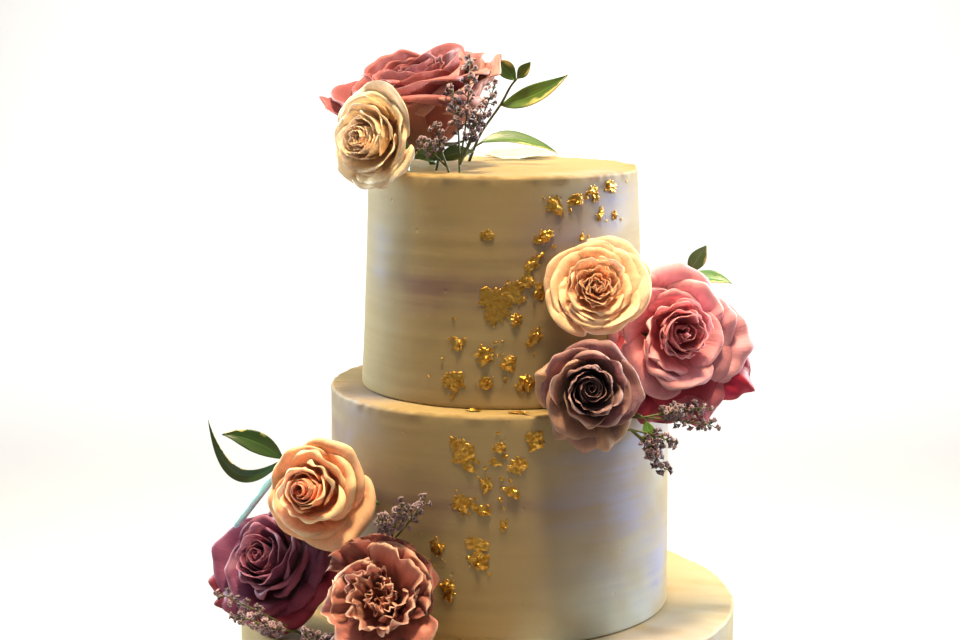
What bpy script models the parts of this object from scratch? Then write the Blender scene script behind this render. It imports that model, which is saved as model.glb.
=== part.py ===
"""Three-tier buttercream cake with gold leaf, fresh roses, a lisianthus, statice and ruscus leaves.

Units are metres. +Z is up and the viewer of the cake's front looks along +Y.
The origin is the centre of the bottom tier's flat underside.
"""

import math
import random
from typing import NamedTuple

import bmesh
import bpy
from mathutils import Matrix, Vector

MM = 0.001
GAP = 0.3 * MM  # between touching pieces
WELD = 0.001 * MM
GOLDEN_ANGLE = math.radians(137.5)

# Tiers, bottom to top. Each is a 5 inch high layer cake under smooth buttercream.
TIER_SIDES = 40
RIM_RADIUS = 3.0 * MM
FOOT_RADIUS = 1.0 * MM
RIM_STEPS = 2


class Tier(NamedTuple):
    name: str
    centre_x: float
    bottom_radius: float
    top_radius: float
    height: float


BOTTOM_TIER = Tier("tier_bottom", 0.0, 152.0 * MM, 152.0 * MM, 130.0 * MM)
MIDDLE_TIER = Tier("tier_middle", 7.3 * MM, 103.8 * MM, 102.4 * MM, 133.0 * MM)
TOP_TIER = Tier("tier_top", 8.9 * MM, 85.2 * MM, 80.2 * MM, 131.0 * MM)
BASE_Z = {
    BOTTOM_TIER.name: 0.0,
    MIDDLE_TIER.name: BOTTOM_TIER.height + GAP,
    TOP_TIER.name: BOTTOM_TIER.height + MIDDLE_TIER.height + 2 * GAP,
}
LEDGE_Z = BASE_Z[MIDDLE_TIER.name]
SHELF_Z = BASE_Z[TOP_TIER.name]
SUMMIT_Z = BASE_Z[TOP_TIER.name] + TOP_TIER.height + GAP


class Flake(NamedTuple):
    """A crumpled piece of gold leaf: degrees round from the front, mm above the tier's foot, mm across."""

    azimuth: float
    height: float
    size: float


# Gold leaf runs down the front in one trail, from the top's right to the middle tier's left.
FLAKES = {
    TOP_TIER.name: (
        Flake(21, 115, 12),
        Flake(30, 117, 12),
        Flake(40, 121, 10),
        Flake(50, 123, 11),
        Flake(42, 108, 8),
        Flake(52, 107, 7),
        Flake(-6, 98, 9),
        Flake(16, 97, 10),
        Flake(12, 83, 13),
        Flake(9, 73, 9),
        Flake(-2, 60, 24),
        Flake(15, 68, 9),
        Flake(-16, 37, 11),
        Flake(-6, 32, 13),
        Flake(2, 26, 10),
        Flake(12, 40, 12),
        Flake(-19, 15, 13),
        Flake(-6, 15, 9),
        Flake(9, 15, 13),
    ),
    MIDDLE_TIER.name: (
        Flake(-11, 111, 19),
        Flake(0, 116, 7),
        Flake(12, 119, 11),
        Flake(6, 105, 12),
        Flake(-4, 94, 9),
        Flake(4, 90, 10),
        Flake(-10, 82, 17),
        Flake(2, 72, 6),
        Flake(-20, 56, 11),
        Flake(-7, 56, 15),
        Flake(-24, 40, 8),
        Flake(-15, 32, 12),
    ),
    BOTTOM_TIER.name: (),
}
FLAKE_SIDES = 5
FLAKE_PROUD = 0.9 * MM
FLAKE_SUNK = 1.2 * MM
FLAKE_SEED = 7


class Bloom(NamedTuple):
    """One flower head: where the middle of its rim lies, which way it faces, and how its petals open."""

    name: str
    centre: tuple  # mm
    foot: tuple  # where its stem meets the cake, mm
    azimuth: float  # degrees to the right of the viewer
    elevation: float  # degrees above the horizon
    spin: float  # degrees
    radius: float
    height: float
    petals: int  # counted from the heart outwards
    opens_from: float  # share of the petals after which they start to lean out
    droop: float  # how far the outermost rims fall, as a share of the height
    heart: float  # height of the heart, as a share of the height
    inner_width: float  # half the angle that a petal wraps round, in radians
    outer_width: float
    roundness: float  # how much shorter a petal's sides are than its middle
    roll: float  # degrees that the outermost rims curl back
    roll_radius: float
    frill: float  # height of the waves along a rim
    lean: float  # how far an open petal reaches out, 1 for flat
    colour: tuple
    beside: tuple  # blooms in front of this one, which it keeps clear of


PETAL_THICKNESS = 1.5 * MM
PETAL_STEPS_ACROSS = 3
PETAL_STEPS_UP = 3
PETALS_MODELLED = (1, 2, 3, 4, 6, 10)  # counted from the outermost inwards
ROLL_START = 0.78  # share of a petal's length after which its rim rolls
STEM_RADIUS = 2.6 * MM
STEM_SINK = 6.0 * MM
CORE_SIDES = 10

BLOOMS = (
    Bloom("rose_right_purple", (57, -104, 280), (50, -66, 276), 2, 9, 20, 31 * MM, 34 * MM, 20, 0.45, 0.34, 0.86,
          2.8, 1.15, 0.40, 85, 2.2 * MM, 0.5 * MM, 0.85, (0.30, 0.17, 0.18), ()),
    Bloom("rose_right_cream", (60.3, -84, 333), (53, -60, 327), 6, 10, 75, 32 * MM, 27 * MM, 44, 0.50, 0.40, 0.72,
          2.2, 0.90, 0.35, 70, 1.8 * MM, 0.9 * MM, 0.75, (0.80, 0.60, 0.40), ("rose_right_purple",)),
    Bloom("rose_right_mauve", (114, -55, 299), (78, -30, 288), 14, 12, 10, 48 * MM, 38 * MM, 26, 0.35, 0.55, 0.85,
          2.6, 0.95, 0.45, 110, 3.2 * MM, 0.9 * MM, 1.0, (0.52, 0.20, 0.22),
          ("rose_right_purple", "rose_right_cream")),
    Bloom("rose_left_peach", (-94, -82, 214), (-72, -48, 205), -14, 12, 40, 33.5 * MM, 38 * MM, 18, 0.50, 0.38, 0.90,
          2.8, 1.20, 0.40, 95, 2.6 * MM, 0.6 * MM, 0.8, (0.82, 0.55, 0.34), ()),
    Bloom("lisianthus_left", (-59, -118, 162), (-50, -80, 150), -6, 30, 0, 39 * MM, 30 * MM, 24, 0.30, 0.40, 0.80,
          1.6, 0.80, 0.25, 60, 2.5 * MM, 2.4 * MM, 0.95, (0.62, 0.30, 0.26), ("rose_left_peach",)),
    Bloom("rose_left_burgundy", (-124, -62, 166), (-86, -29, 144), -32, 30, 65, 42 * MM, 34 * MM, 26, 0.35, 0.45,
          0.88, 2.6, 1.00, 0.45, 105, 3.0 * MM, 0.8 * MM, 0.95, (0.26, 0.08, 0.12),
          ("rose_left_peach", "lisianthus_left")),
    Bloom("rose_top_cream", (-63, -48, 413), (-47, -42, 391), -36, 8, 30, 33 * MM, 34 * MM, 36, 0.45, 0.36, 0.78,
          2.3, 0.95, 0.35, 75, 2.0 * MM, 1.1 * MM, 0.8, (0.82, 0.64, 0.46), ()),
    Bloom("rose_top_pink", (-39, -3, 428), (-24, 6, 391), -58, 68, 15, 49 * MM, 56 * MM, 26, 0.35, 0.24, 0.86,
          2.6, 1.00, 0.45, 110, 3.2 * MM, 0.9 * MM, 0.8, (0.62, 0.22, 0.22), ("rose_top_cream",)),
)


class Leaf(NamedTuple):
    """A leaf blade: three points along it in mm, its width and the way that its upper side faces."""

    start: tuple
    middle: tuple
    end: tuple
    width: float
    face: tuple


class Spray(NamedTuple):
    """Leaves that grow from one stem. The stem's points are in mm, from the cake outwards."""

    name: str
    stem: tuple
    leaves: tuple
    beside: tuple


LEAF_THICKNESS = 0.8 * MM
LEAF_STEPS = 5
TWIG_RADIUS = 0.9 * MM

SPRAYS = (
    Spray("leaves_top_back", ((-12, 30, 392), (-5, 24, 412), (7, 12, 430), (13, 9, 441), (17, 8, 446)), (
        Leaf((7, 12, 430), (27, 4, 437), (47, -4, 448.5), 10, (0, -1, 0.6)),
        Leaf((16, 8, 445), (10, 6, 452), (5, 5, 457), 10, (0, -1, 0.2)),
        Leaf((17, 8, 446), (21, 6, 451), (25, 4, 456), 7, (0, -1, 0.4)),
    ), ("rose_top_pink",)),
    Spray("leaves_top_low", ((-12, 38, 392), (-10, 38, 402), (-4, 39, 406)), (
        Leaf((-5, 39, 406), (19, 44, 408.5), (43, 50, 398), 14, (0.2, -0.5, 1)),
    ), ("rose_top_pink",)),
    Spray("leaves_top_base", ((-30, -36, 392), (-29, -38, 399), (-28, -40, 403)), (
        Leaf((-29, -39, 401), (-36, -44, 404), (-42, -49, 402), 11, (0, -1, 1)),
        Leaf((-28, -40, 401), (-31, -42, 407), (-34, -44, 412), 10, (0, -1, 0.3)),
        Leaf((-28, -40, 401), (-18, -36, 405), (-8, -30, 405), 10, (0, -1, 0.7)),
    ), ("rose_top_cream", "rose_top_pink")),
    Spray("leaves_right_upper", ((88, 8, 302), (104, -2, 318), (114, -14, 328), (119, -18, 333)), (
        Leaf((119, -18, 333), (124, -23, 342), (128.5, -25, 350), 10, (0, -1, 0.2)),
        Leaf((114, -14, 328), (130, -21, 331), (144, -25, 327.5), 11, (0, -0.8, 1)),
    ), ("rose_right_mauve", "rose_right_cream")),
    Spray("leaf_right_lower", ((74, -69, 259), (86, -80, 260), (90, -83, 257)), (
        Leaf((90, -83, 257), (92, -86, 251), (95, -88, 245), 7, (0.2, -1, 0)),
    ), ("rose_right_purple", "rose_right_mauve")),
    Spray("leaves_left_upper", ((-88, 0, 214), (-108, -22, 220), (-121, -38, 223)), (
        Leaf((-121, -38, 223), (-138, -42, 235), (-156, -44, 239), 11, (0, -1, 0.6)),
        Leaf((-121, -38, 223), (-147, -50, 217), (-162.5, -54, 250), 7, (0, -1, 0)),
    ), ("rose_left_peach",)),
)


class Sprig(NamedTuple):
    """A statice sprig: a stem that forks just off the cake into several flowering ones, in mm."""

    name: str
    foot: tuple
    fork: tuple
    tips: tuple
    florets: int  # on each stem
    seed: int
    beside: tuple


FLORET_RADIUS = 2.3 * MM
FLORET_LENGTH = 4.6 * MM
FLORET_SIDES = 4
SPRIG_RADIUS = 0.75 * MM

SPRIGS = (
    Sprig("statice_top_tall", (-16, -56, 392), (-16, -56, 399),
          ((-10, -54, 458), (4, -50, 444), (-20, -52, 442), (-4, -61, 430)),
          3, 3, ("rose_top_pink", "rose_top_cream", "leaves_top_base")),
    Sprig("statice_top_low", (-22, -55, 392), (-23, -56, 398), ((-29, -58, 420), (-37, -57, 413)),
          2, 5, ("rose_top_pink", "rose_top_cream", "leaves_top_base", "statice_top_tall")),
    Sprig("statice_right_long", (74, -69, 256), (88, -82, 258.6), ((129, -72, 252), (125, -70, 262), (108, -82, 262)),
          2, 11, ("rose_right_purple", "rose_right_mauve", "leaf_right_lower")),
    Sprig("statice_right_short", (68, -74, 248), (81, -87, 253), ((101, -88, 230), (95, -92, 240), (105, -87, 246)),
          2, 13, ("rose_right_purple", "rose_right_mauve", "leaf_right_lower", "statice_right_long")),
    Sprig("statice_left_inner", (-52, -80, 185), (-54, -100, 190),
          ((-34, -110, 217), (-46, -112, 215), (-58, -112, 207)),
          2, 17, ("rose_left_peach", "lisianthus_left")),
    Sprig("statice_left_outer", (-103, -88, 129), (-107, -91, 134),
          ((-151, -92, 157), (-142, -98, 146), (-127, -106, 143)),
          3, 19, ("rose_left_burgundy", "lisianthus_left")),
    Sprig("statice_left_low", (-84, -104, 129), (-85, -106, 133), ((-100, -116, 141), (-87, -122, 139)),
          2, 23, ("rose_left_burgundy", "lisianthus_left", "statice_left_outer")),
)

# A short plastic tube that holds a stem shows behind the left flowers.
PICK_RADIUS = 2.6 * MM
PICK_ENDS = ((-110, -48, 235), (-148, -56, 186))  # mm

# A loose pale petal lies on the top behind the leaves.
LOOSE_PETAL = Leaf((-3, 60, 396.5), (20, 63, 398), (43, 60, 396.5), 22, (0, -0.3, 1))


def clear_scene():
    for obj in list(bpy.data.objects):
        bpy.data.objects.remove(obj)


def new_collection(name, hidden=False):
    collection = bpy.data.collections.new(name)
    collection.hide_render = hidden
    bpy.context.scene.collection.children.link(collection)
    return collection


def finish_material(name, colour, roughness=0.6, metallic=0.0):
    material = bpy.data.materials.new(name)
    material.use_nodes = True
    shader = material.node_tree.nodes["Principled BSDF"]
    shader.inputs["Base Color"].default_value = (*colour, 1.0)
    shader.inputs["Roughness"].default_value = roughness
    shader.inputs["Metallic"].default_value = metallic
    return material


def add_object(name, data, collection):
    obj = bpy.data.objects.new(name, data)
    collection.objects.link(obj)
    return obj


def mesh_from(bm, name):
    """The bmesh as a mesh with its faces pointing out."""
    bmesh.ops.recalc_face_normals(bm, faces=bm.faces)
    mesh = bpy.data.meshes.new(name)
    bm.to_mesh(mesh)
    bm.free()
    return mesh


def evaluated_mesh(obj):
    """The object's mesh in world space, with its modifiers applied and its doubles welded."""
    graph = bpy.context.evaluated_depsgraph_get()
    mesh = bpy.data.meshes.new_from_object(obj.evaluated_get(graph), depsgraph=graph)
    mesh.transform(obj.matrix_world)
    bm = bmesh.new()
    bm.from_mesh(mesh)
    bmesh.ops.remove_doubles(bm, verts=bm.verts, dist=WELD)
    bm.to_mesh(mesh)
    bm.free()
    return mesh


def island_volumes(bm):
    """(volume, faces) of each connected piece of the mesh."""
    left = set(bm.faces)
    found = []
    while left:
        island, queue = set(), [left.pop()]
        while queue:
            face = queue.pop()
            island.add(face)
            near = {other for edge in face.edges for other in edge.link_faces} & left
            left -= near
            queue.extend(near)
        corners = [[v.co for v in face.verts] for face in island]
        volume = sum(
            c[0].dot(c[i].cross(c[i + 1])) / 6 for c in corners for i in range(1, len(c) - 1)
        )
        found.append((volume, island))
    return found


def keep_largest_body(mesh):
    """Drops loose scraps and the shells of sealed hollows, so one solid is left."""
    bm = bmesh.new()
    bm.from_mesh(mesh)
    bmesh.ops.triangulate(bm, faces=bm.faces)
    islands = island_volumes(bm)
    kept = max(islands, key=lambda item: item[0])[1]
    scraps = [face for _, island in islands for face in island if island is not kept]
    bmesh.ops.delete(bm, geom=scraps, context="FACES")
    bm.to_mesh(mesh)
    bm.free()


def fuse(name, pieces, collection, material, cutters=None):
    """Joins the pieces by one Boolean union, cuts away the cutters' shapes and returns one solid."""
    body = add_object(name, evaluated_mesh(pieces[0]), collection)
    union = new_collection(name + "_pieces", hidden=True)
    for piece in pieces[1:]:
        add_object(piece.name + "_fused", evaluated_mesh(piece), union)
    for operation, group in (("UNION", union), ("DIFFERENCE", cutters)):
        if group is None or not group.objects:
            continue
        boolean = body.modifiers.new(operation.lower(), "BOOLEAN")
        boolean.operation = operation
        boolean.operand_type = "COLLECTION"
        boolean.collection = group
        boolean.solver = "MANIFOLD"
    bpy.context.view_layer.update()
    mesh = evaluated_mesh(body)
    body.modifiers.clear()
    body.data = mesh
    keep_largest_body(mesh)
    for obj in [*pieces, *union.objects]:
        bpy.data.objects.remove(obj)
    bpy.data.collections.remove(union)
    mesh.materials.clear()
    mesh.materials.append(material)
    mesh.name = name
    mesh.shade_smooth()
    mesh.set_sharp_from_angle(angle=math.radians(35))
    return body


def turned(name, profile, sides, collection):
    """A solid of revolution about Z. The profile runs down its outer side from top to bottom."""
    mesh = bpy.data.meshes.new(name)
    mesh.from_pydata([(r, 0.0, z) for r, z in profile], [(i, i + 1) for i in range(len(profile) - 1)], [])
    obj = add_object(name, mesh, collection)
    screw = obj.modifiers.new("screw", "SCREW")
    screw.steps = screw.render_steps = sides
    screw.use_merge_vertices = True
    screw.merge_threshold = WELD
    return obj


def tier_profile(tier, grow=0.0):
    """Outline of a tier from the middle of its top down to the middle of its foot."""
    top, rim = tier.height + grow, RIM_RADIUS
    radius = tier.top_radius + grow
    foot = tier.bottom_radius + grow
    arc = [
        (radius - rim + rim * math.sin(a), top - rim + rim * math.cos(a))
        for a in (math.radians(90) * i / RIM_STEPS for i in range(RIM_STEPS + 1))
    ]
    return [(0.0, top), *arc, (foot, FOOT_RADIUS - grow), (foot - FOOT_RADIUS, -grow), (0.0, -grow)]


def tier_surface(tier, azimuth, height, proud):
    """Point that far proud of a tier's wall, and the wall's outward direction there."""
    turn = math.radians(azimuth)
    out = Vector((math.sin(turn), -math.cos(turn), 0))
    radius = tier.bottom_radius + (tier.top_radius - tier.bottom_radius) * height / tier.height
    centre = Vector((tier.centre_x, 0, BASE_Z[tier.name] + height))
    return centre + out * (radius + proud), out


def flake_solid(tier, flake, draw, collection):
    """A crumpled flake, sunk a little into the wall and standing proud of it."""
    place, out = tier_surface(tier, flake.azimuth, flake.height * MM, (FLAKE_PROUD - FLAKE_SUNK) / 2)
    bm = bmesh.new()
    bmesh.ops.create_cone(
        bm,
        cap_ends=True,
        segments=FLAKE_SIDES,
        radius1=flake.size * MM / 2,
        radius2=flake.size * MM / 2 * 0.7,
        depth=FLAKE_PROUD + FLAKE_SUNK,
    )
    for vert in bm.verts:
        vert.co.x *= draw.uniform(0.75, 1.1)
        vert.co.y *= draw.uniform(0.6, 1.05)
        if vert.co.z > 0:
            vert.co.z *= draw.uniform(0.6, 1.5)
    bmesh.ops.triangulate(bm, faces=bm.faces)
    obj = add_object(f"{tier.name}_flake", mesh_from(bm, "flake"), collection)
    face_out = out.to_track_quat("Z", "Y").to_matrix().to_4x4()
    obj.matrix_world = Matrix.Translation(place) @ face_out @ Matrix.Rotation(draw.uniform(0, math.tau), 4, "Z")
    return obj


def build_tier(tier, collection, cream):
    draw = random.Random(FLAKE_SEED)
    body = turned(tier.name + "_body", tier_profile(tier), TIER_SIDES, collection)
    body.location = (tier.centre_x, 0, BASE_Z[tier.name])
    flakes = [flake_solid(tier, flake, draw, collection) for flake in FLAKES[tier.name]]
    bpy.context.view_layer.update()
    return fuse(tier.name, [body, *flakes], collection, cream)


def build_clearances(cutters):
    """Each tier grown by the gap: what lies against the cake is cut back by these."""
    for tier in (BOTTOM_TIER, MIDDLE_TIER, TOP_TIER):
        cutter = turned(tier.name + "_clearance", tier_profile(tier, GAP), TIER_SIDES, cutters)
        cutter.location = (tier.centre_x, 0, BASE_Z[tier.name])
        cutter.display_type = "WIRE"
        cutter.hide_render = True


def smooth(value, start=0.0, end=1.0):
    """Rises from 0 to 1 between start and end with level ends."""
    share = min(1.0, max(0.0, (value - start) / (end - start)))
    return share * share * (3 - 2 * share)


def petal_curve(bloom, layer):
    """Control points (radius, height) of a petal's middle line: layer 0 is the heart and 1 the outermost."""
    leaning = smooth(layer, bloom.opens_from, 1.0) * bloom.lean
    radius, height = bloom.radius, bloom.height
    rim_height = bloom.heart + 0.1 * math.sin(layer * math.pi * 0.8) - bloom.droop * leaning
    return (
        (radius * 0.03, 0.0),
        (radius * (0.10 + 0.50 * layer), height * (0.10 - 0.02 * layer)),
        (radius * (0.07 + 0.60 * layer + 0.10 * leaning), height * (0.55 + 0.10 * leaning)),
        (radius * (0.05 + 0.62 * layer + 0.33 * leaning), height * rim_height),
    )


def petal_point(bloom, index, across, along):
    """Point of a petal: across runs from side to side, -1 to 1, and along from its base to its rim."""
    layer = index / (bloom.petals - 1)
    reach = 1 - bloom.roundness * layer * abs(across) ** 2.6
    base, belly, shoulder, rim = petal_curve(bloom, layer)
    shoulder = [b + (s - b) * reach for b, s in zip(belly, shoulder)]
    rim = [b + (r - b) * reach for b, r in zip(belly, rim)]
    t = min(1.0, along / ROLL_START)
    weights = ((1 - t) ** 3, 3 * t * (1 - t) ** 2, 3 * t * t * (1 - t), t**3)
    radius, height = (
        sum(w * point[axis] for w, point in zip(weights, (base, belly, shoulder, rim))) for axis in (0, 1)
    )
    lean = math.atan2(rim[0] - shoulder[0], rim[1] - shoulder[1])
    rolled = max(0.0, (along - ROLL_START) / (1 - ROLL_START))
    turn = math.radians(bloom.roll) * smooth(layer, 0.1, 0.7) * rolled
    radius += bloom.roll_radius * (math.cos(lean) * (1 - math.cos(turn)) + math.sin(lean) * math.sin(turn))
    height += bloom.roll_radius * (math.cos(lean) * math.sin(turn) - math.sin(lean) * (1 - math.cos(turn)))
    tuck = bloom.radius * 1.5 / bloom.petals  # one side lies under its neighbour, the other over
    frill = bloom.frill * layer * smooth(along, 0.25, 1.0) * math.sin(across * math.pi * 1.5 + index)
    radius += frill + tuck * across * smooth(along, 0.0, 0.35)
    width = bloom.inner_width + (bloom.outer_width - bloom.inner_width) * smooth(layer, 0, 0.5)
    angle = index * GOLDEN_ANGLE + width * (0.45 + 0.55 * smooth(along, 0, 0.55)) * across
    return Vector((radius * math.cos(angle), radius * math.sin(angle), height))


def bloom_frame(bloom):
    """Places a flower whose base is at the origin and whose axis is Z."""
    azimuth, elevation = math.radians(bloom.azimuth), math.radians(bloom.elevation)
    facing = Vector(
        (math.sin(azimuth) * math.cos(elevation), -math.cos(azimuth) * math.cos(elevation), math.sin(elevation))
    )
    base = Vector(bloom.centre) * MM - facing * bloom.height * 0.45
    turn = facing.to_track_quat("Z", "Y").to_matrix().to_4x4()
    return Matrix.Translation(base) @ turn @ Matrix.Rotation(math.radians(bloom.spin), 4, "Z")


def petal_solid(bloom, index, collection):
    bm = bmesh.new()
    bmesh.ops.create_grid(bm, x_segments=PETAL_STEPS_ACROSS, y_segments=PETAL_STEPS_UP, size=1.0)
    for vert in bm.verts:
        vert.co = petal_point(bloom, index, vert.co.x, 0.06 + 0.94 * (vert.co.y + 1) / 2)
    obj = add_object(f"{bloom.name}_petal_{index}", mesh_from(bm, "petal"), collection)
    shell = obj.modifiers.new("thickness", "SOLIDIFY")
    shell.thickness = PETAL_THICKNESS
    shell.offset = 0.0
    return obj


def core_solid(bloom, collection):
    """The heart and cup of a flower as one turned solid."""
    radius, height = bloom.radius, bloom.height
    top = height * bloom.heart
    profile = [
        (0.0, top * 0.90),
        (radius * 0.12, top * 0.96),
        (radius * 0.27, top * 0.80),
        (radius * 0.45, height * 0.42),
        (radius * 0.38, height * 0.10),
        (STEM_RADIUS * 1.5, -STEM_SINK),
        (0.0, -STEM_SINK),
    ]
    return turned(bloom.name + "_core", profile, CORE_SIDES, collection)


def build_bloom(bloom, collection, cutters, clearances):
    """One flower head on its stem, cut back from what it lies against, and its own head's clearance."""
    frame = bloom_frame(bloom)
    indices = [bloom.petals - step for step in PETALS_MODELLED]
    pieces = [core_solid(bloom, collection), *(petal_solid(bloom, i, collection) for i in indices)]
    for piece in pieces:
        piece.matrix_world = frame
    neck = [frame @ Vector((0, 0, 0)), frame @ Vector((0, 0, -2 * STEM_SINK))]
    pieces.append(wire(bloom.name + "_stem", (*neck, Vector(bloom.foot) * MM), STEM_RADIUS, collection))
    bpy.context.view_layer.update()
    material = finish_material(bloom.name, bloom.colour, roughness=0.55)
    body = fuse(bloom.name, pieces, collection, material, cutters)
    lowest = -2.5 * STEM_SINK
    head = [v.co for v in body.data.vertices if (frame.inverted() @ v.co).z > lowest]
    envelope(body.name, head, clearances)
    return body


def wire(name, points, radius, collection):
    """A thin stem through the points."""
    curve = bpy.data.curves.new(name, "CURVE")
    curve.dimensions = "3D"
    curve.bevel_depth = radius
    curve.bevel_resolution = 0
    curve.use_fill_caps = True
    spline = curve.splines.new("POLY")
    spline.points.add(len(points) - 1)
    for target, point in zip(spline.points, points):
        target.co = (*point, 1.0)
    return add_object(name, curve, collection)


def leaf_solid(leaf, name, collection):
    """A thin pointed blade along a curve through three points, folded a little along its midrib."""
    start, middle, end = (Vector(point) * MM for point in (leaf.start, leaf.middle, leaf.end))
    control = middle * 2 - (start + end) / 2
    bm = bmesh.new()
    bmesh.ops.create_grid(bm, x_segments=2, y_segments=LEAF_STEPS, size=1.0)
    for vert in bm.verts:
        side, share = vert.co.x, (vert.co.y + 1) / 2
        place = start * (1 - share) ** 2 + control * 2 * share * (1 - share) + end * share**2
        along = ((control - start) * (1 - share) + (end - control) * share).normalized()
        sideways = Vector(leaf.face).cross(along).normalized()
        half = leaf.width * MM / 2 * max(0.12, math.sin(math.pi * share**0.85))
        vert.co = place + sideways * side * half - along.cross(sideways) * 0.25 * half * (1 - abs(side))
    bmesh.ops.triangulate(bm, faces=bm.faces)
    obj = add_object(name, mesh_from(bm, name), collection)
    shell = obj.modifiers.new("thickness", "SOLIDIFY")
    shell.thickness = LEAF_THICKNESS
    shell.offset = 0.0
    return obj


def build_spray(spray, collection, cutters, green):
    stem = wire(spray.name + "_stem", [Vector(p) * MM for p in spray.stem], TWIG_RADIUS, collection)
    blades = [leaf_solid(leaf, f"{spray.name}_{i}", collection) for i, leaf in enumerate(spray.leaves)]
    return fuse(spray.name, [stem, *blades], collection, green, cutters)


def floret_solid(name, tip, direction, collection):
    """One papery statice flower: a small cup that opens away from its twig."""
    bm = bmesh.new()
    bmesh.ops.create_cone(
        bm,
        cap_ends=True,
        segments=FLORET_SIDES,
        radius1=SPRIG_RADIUS * 0.8,
        radius2=FLORET_RADIUS,
        depth=FLORET_LENGTH,
    )
    obj = add_object(name, mesh_from(bm, name), collection)
    obj.matrix_world = Matrix.Translation(tip) @ direction.to_track_quat("Z", "Y").to_matrix().to_4x4()
    return obj


def build_sprig(sprig, collection, cutters, dusty):
    """Stems that fan out from one fork, each with small flowers round its upper half."""
    draw = random.Random(sprig.seed)
    foot, fork = Vector(sprig.foot) * MM, Vector(sprig.fork) * MM
    pieces = [wire(sprig.name + "_foot", (foot, fork + (fork - foot).normalized() * MM), SPRIG_RADIUS, collection)]
    for number, tip in enumerate(Vector(point) * MM for point in sprig.tips):
        middle = fork.lerp(tip, 0.45) + Vector((0, 0, draw.uniform(-1.5, 1.5) * MM))
        name = f"{sprig.name}_{number}"
        pieces.append(wire(name + "_stem", (fork, middle, tip), SPRIG_RADIUS, collection))
        axis = (tip - middle).normalized()
        sideways = axis.orthogonal().normalized()
        for floret in range(sprig.florets):
            out = Matrix.Rotation(floret * GOLDEN_ANGLE + number, 3, axis) @ sideways
            direction = (axis * 0.7 + out).normalized()
            spot = middle.lerp(tip, 0.15 + 0.85 * floret / (sprig.florets - 1))
            centre = spot + direction * FLORET_LENGTH * 0.4
            pieces.append(floret_solid(name + "_floret", centre, direction, collection))
    bpy.context.view_layer.update()
    return fuse(sprig.name, pieces, collection, dusty, cutters)


def envelope(name, points, collection):
    """The convex hull of a solid, grown by the gap, for what lies beside it to be cut back by."""
    middle = sum(points, Vector()) / len(points)
    bm = bmesh.new()
    for point in points:
        bm.verts.new(point + (point - middle).normalized() * 2 * GAP)
    hull = bmesh.ops.convex_hull(bm, input=bm.verts)
    unused = {item for key in ("geom_interior", "geom_unused") for item in hull[key]}
    bmesh.ops.delete(bm, geom=[item for item in unused if isinstance(item, bmesh.types.BMVert)], context="VERTS")
    cutter = add_object(name + "_envelope", mesh_from(bm, name), collection)
    cutter.display_type = "WIRE"
    cutter.hide_render = True


def clearances_for(name, beside, clearances):
    """The tiers' clearances and the envelopes of the named neighbours, as one collection of cutters."""
    group = new_collection(name + "_clear_of", hidden=True)
    for obj in clearances.objects:
        wanted = obj.name.removesuffix("_envelope")
        if obj.name.endswith("_clearance") or wanted in beside:
            group.objects.link(obj)
    return group


def main():
    clear_scene()
    cake = new_collection("buttercream_cake")
    clearances = new_collection("clearances", hidden=True)
    cream = finish_material("buttercream", (0.78, 0.70, 0.52), roughness=0.5)
    green = finish_material("leaf_green", (0.10, 0.22, 0.05), roughness=0.45)
    dusty = finish_material("statice", (0.38, 0.28, 0.34), roughness=0.8)
    plastic = finish_material("pick_plastic", (0.35, 0.62, 0.72), roughness=0.3)
    for tier in (BOTTOM_TIER, MIDDLE_TIER, TOP_TIER):
        build_tier(tier, cake, cream)
    build_clearances(clearances)
    for bloom in BLOOMS:
        build_bloom(bloom, cake, clearances_for(bloom.name, bloom.beside, clearances), clearances)
    for spray in SPRAYS:
        body = build_spray(spray, cake, clearances_for(spray.name, spray.beside, clearances), green)
        envelope(body.name, [vert.co for vert in body.data.vertices], clearances)
    for sprig in SPRIGS:
        body = build_sprig(sprig, cake, clearances_for(sprig.name, sprig.beside, clearances), dusty)
        envelope(body.name, [vert.co for vert in body.data.vertices], clearances)
    beside = ("rose_left_peach", "rose_left_burgundy", "leaves_left_upper")
    pick = wire("pick_tube", [Vector(end) * MM for end in PICK_ENDS], PICK_RADIUS, cake)
    fuse("stem_pick", [pick], cake, plastic, clearances_for("stem_pick", beside, clearances))
    pale = finish_material("pale_petal", (0.80, 0.80, 0.72), roughness=0.5)
    petal = leaf_solid(LOOSE_PETAL, "petal_blade", cake)
    fuse("petal_top_back", [petal], cake, pale, clearances_for("petal_top_back", ("leaves_top_low",), clearances))


main()
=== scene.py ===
"""Looks of a three-tier buttercream cake with gold leaf, roses, a lisianthus, statice and ruscus leaves.

Units are metres. +Z is up and the cake's front faces -Y. Lengths in the tables are in millimetres.
Every piece is made where it stands, so its object sits at the origin.
"""

import math
from typing import NamedTuple
import bpy
import numpy as np
from bpy.props import FloatProperty, FloatVectorProperty, IntProperty, PointerProperty
from mathutils import Matrix, Vector


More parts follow.
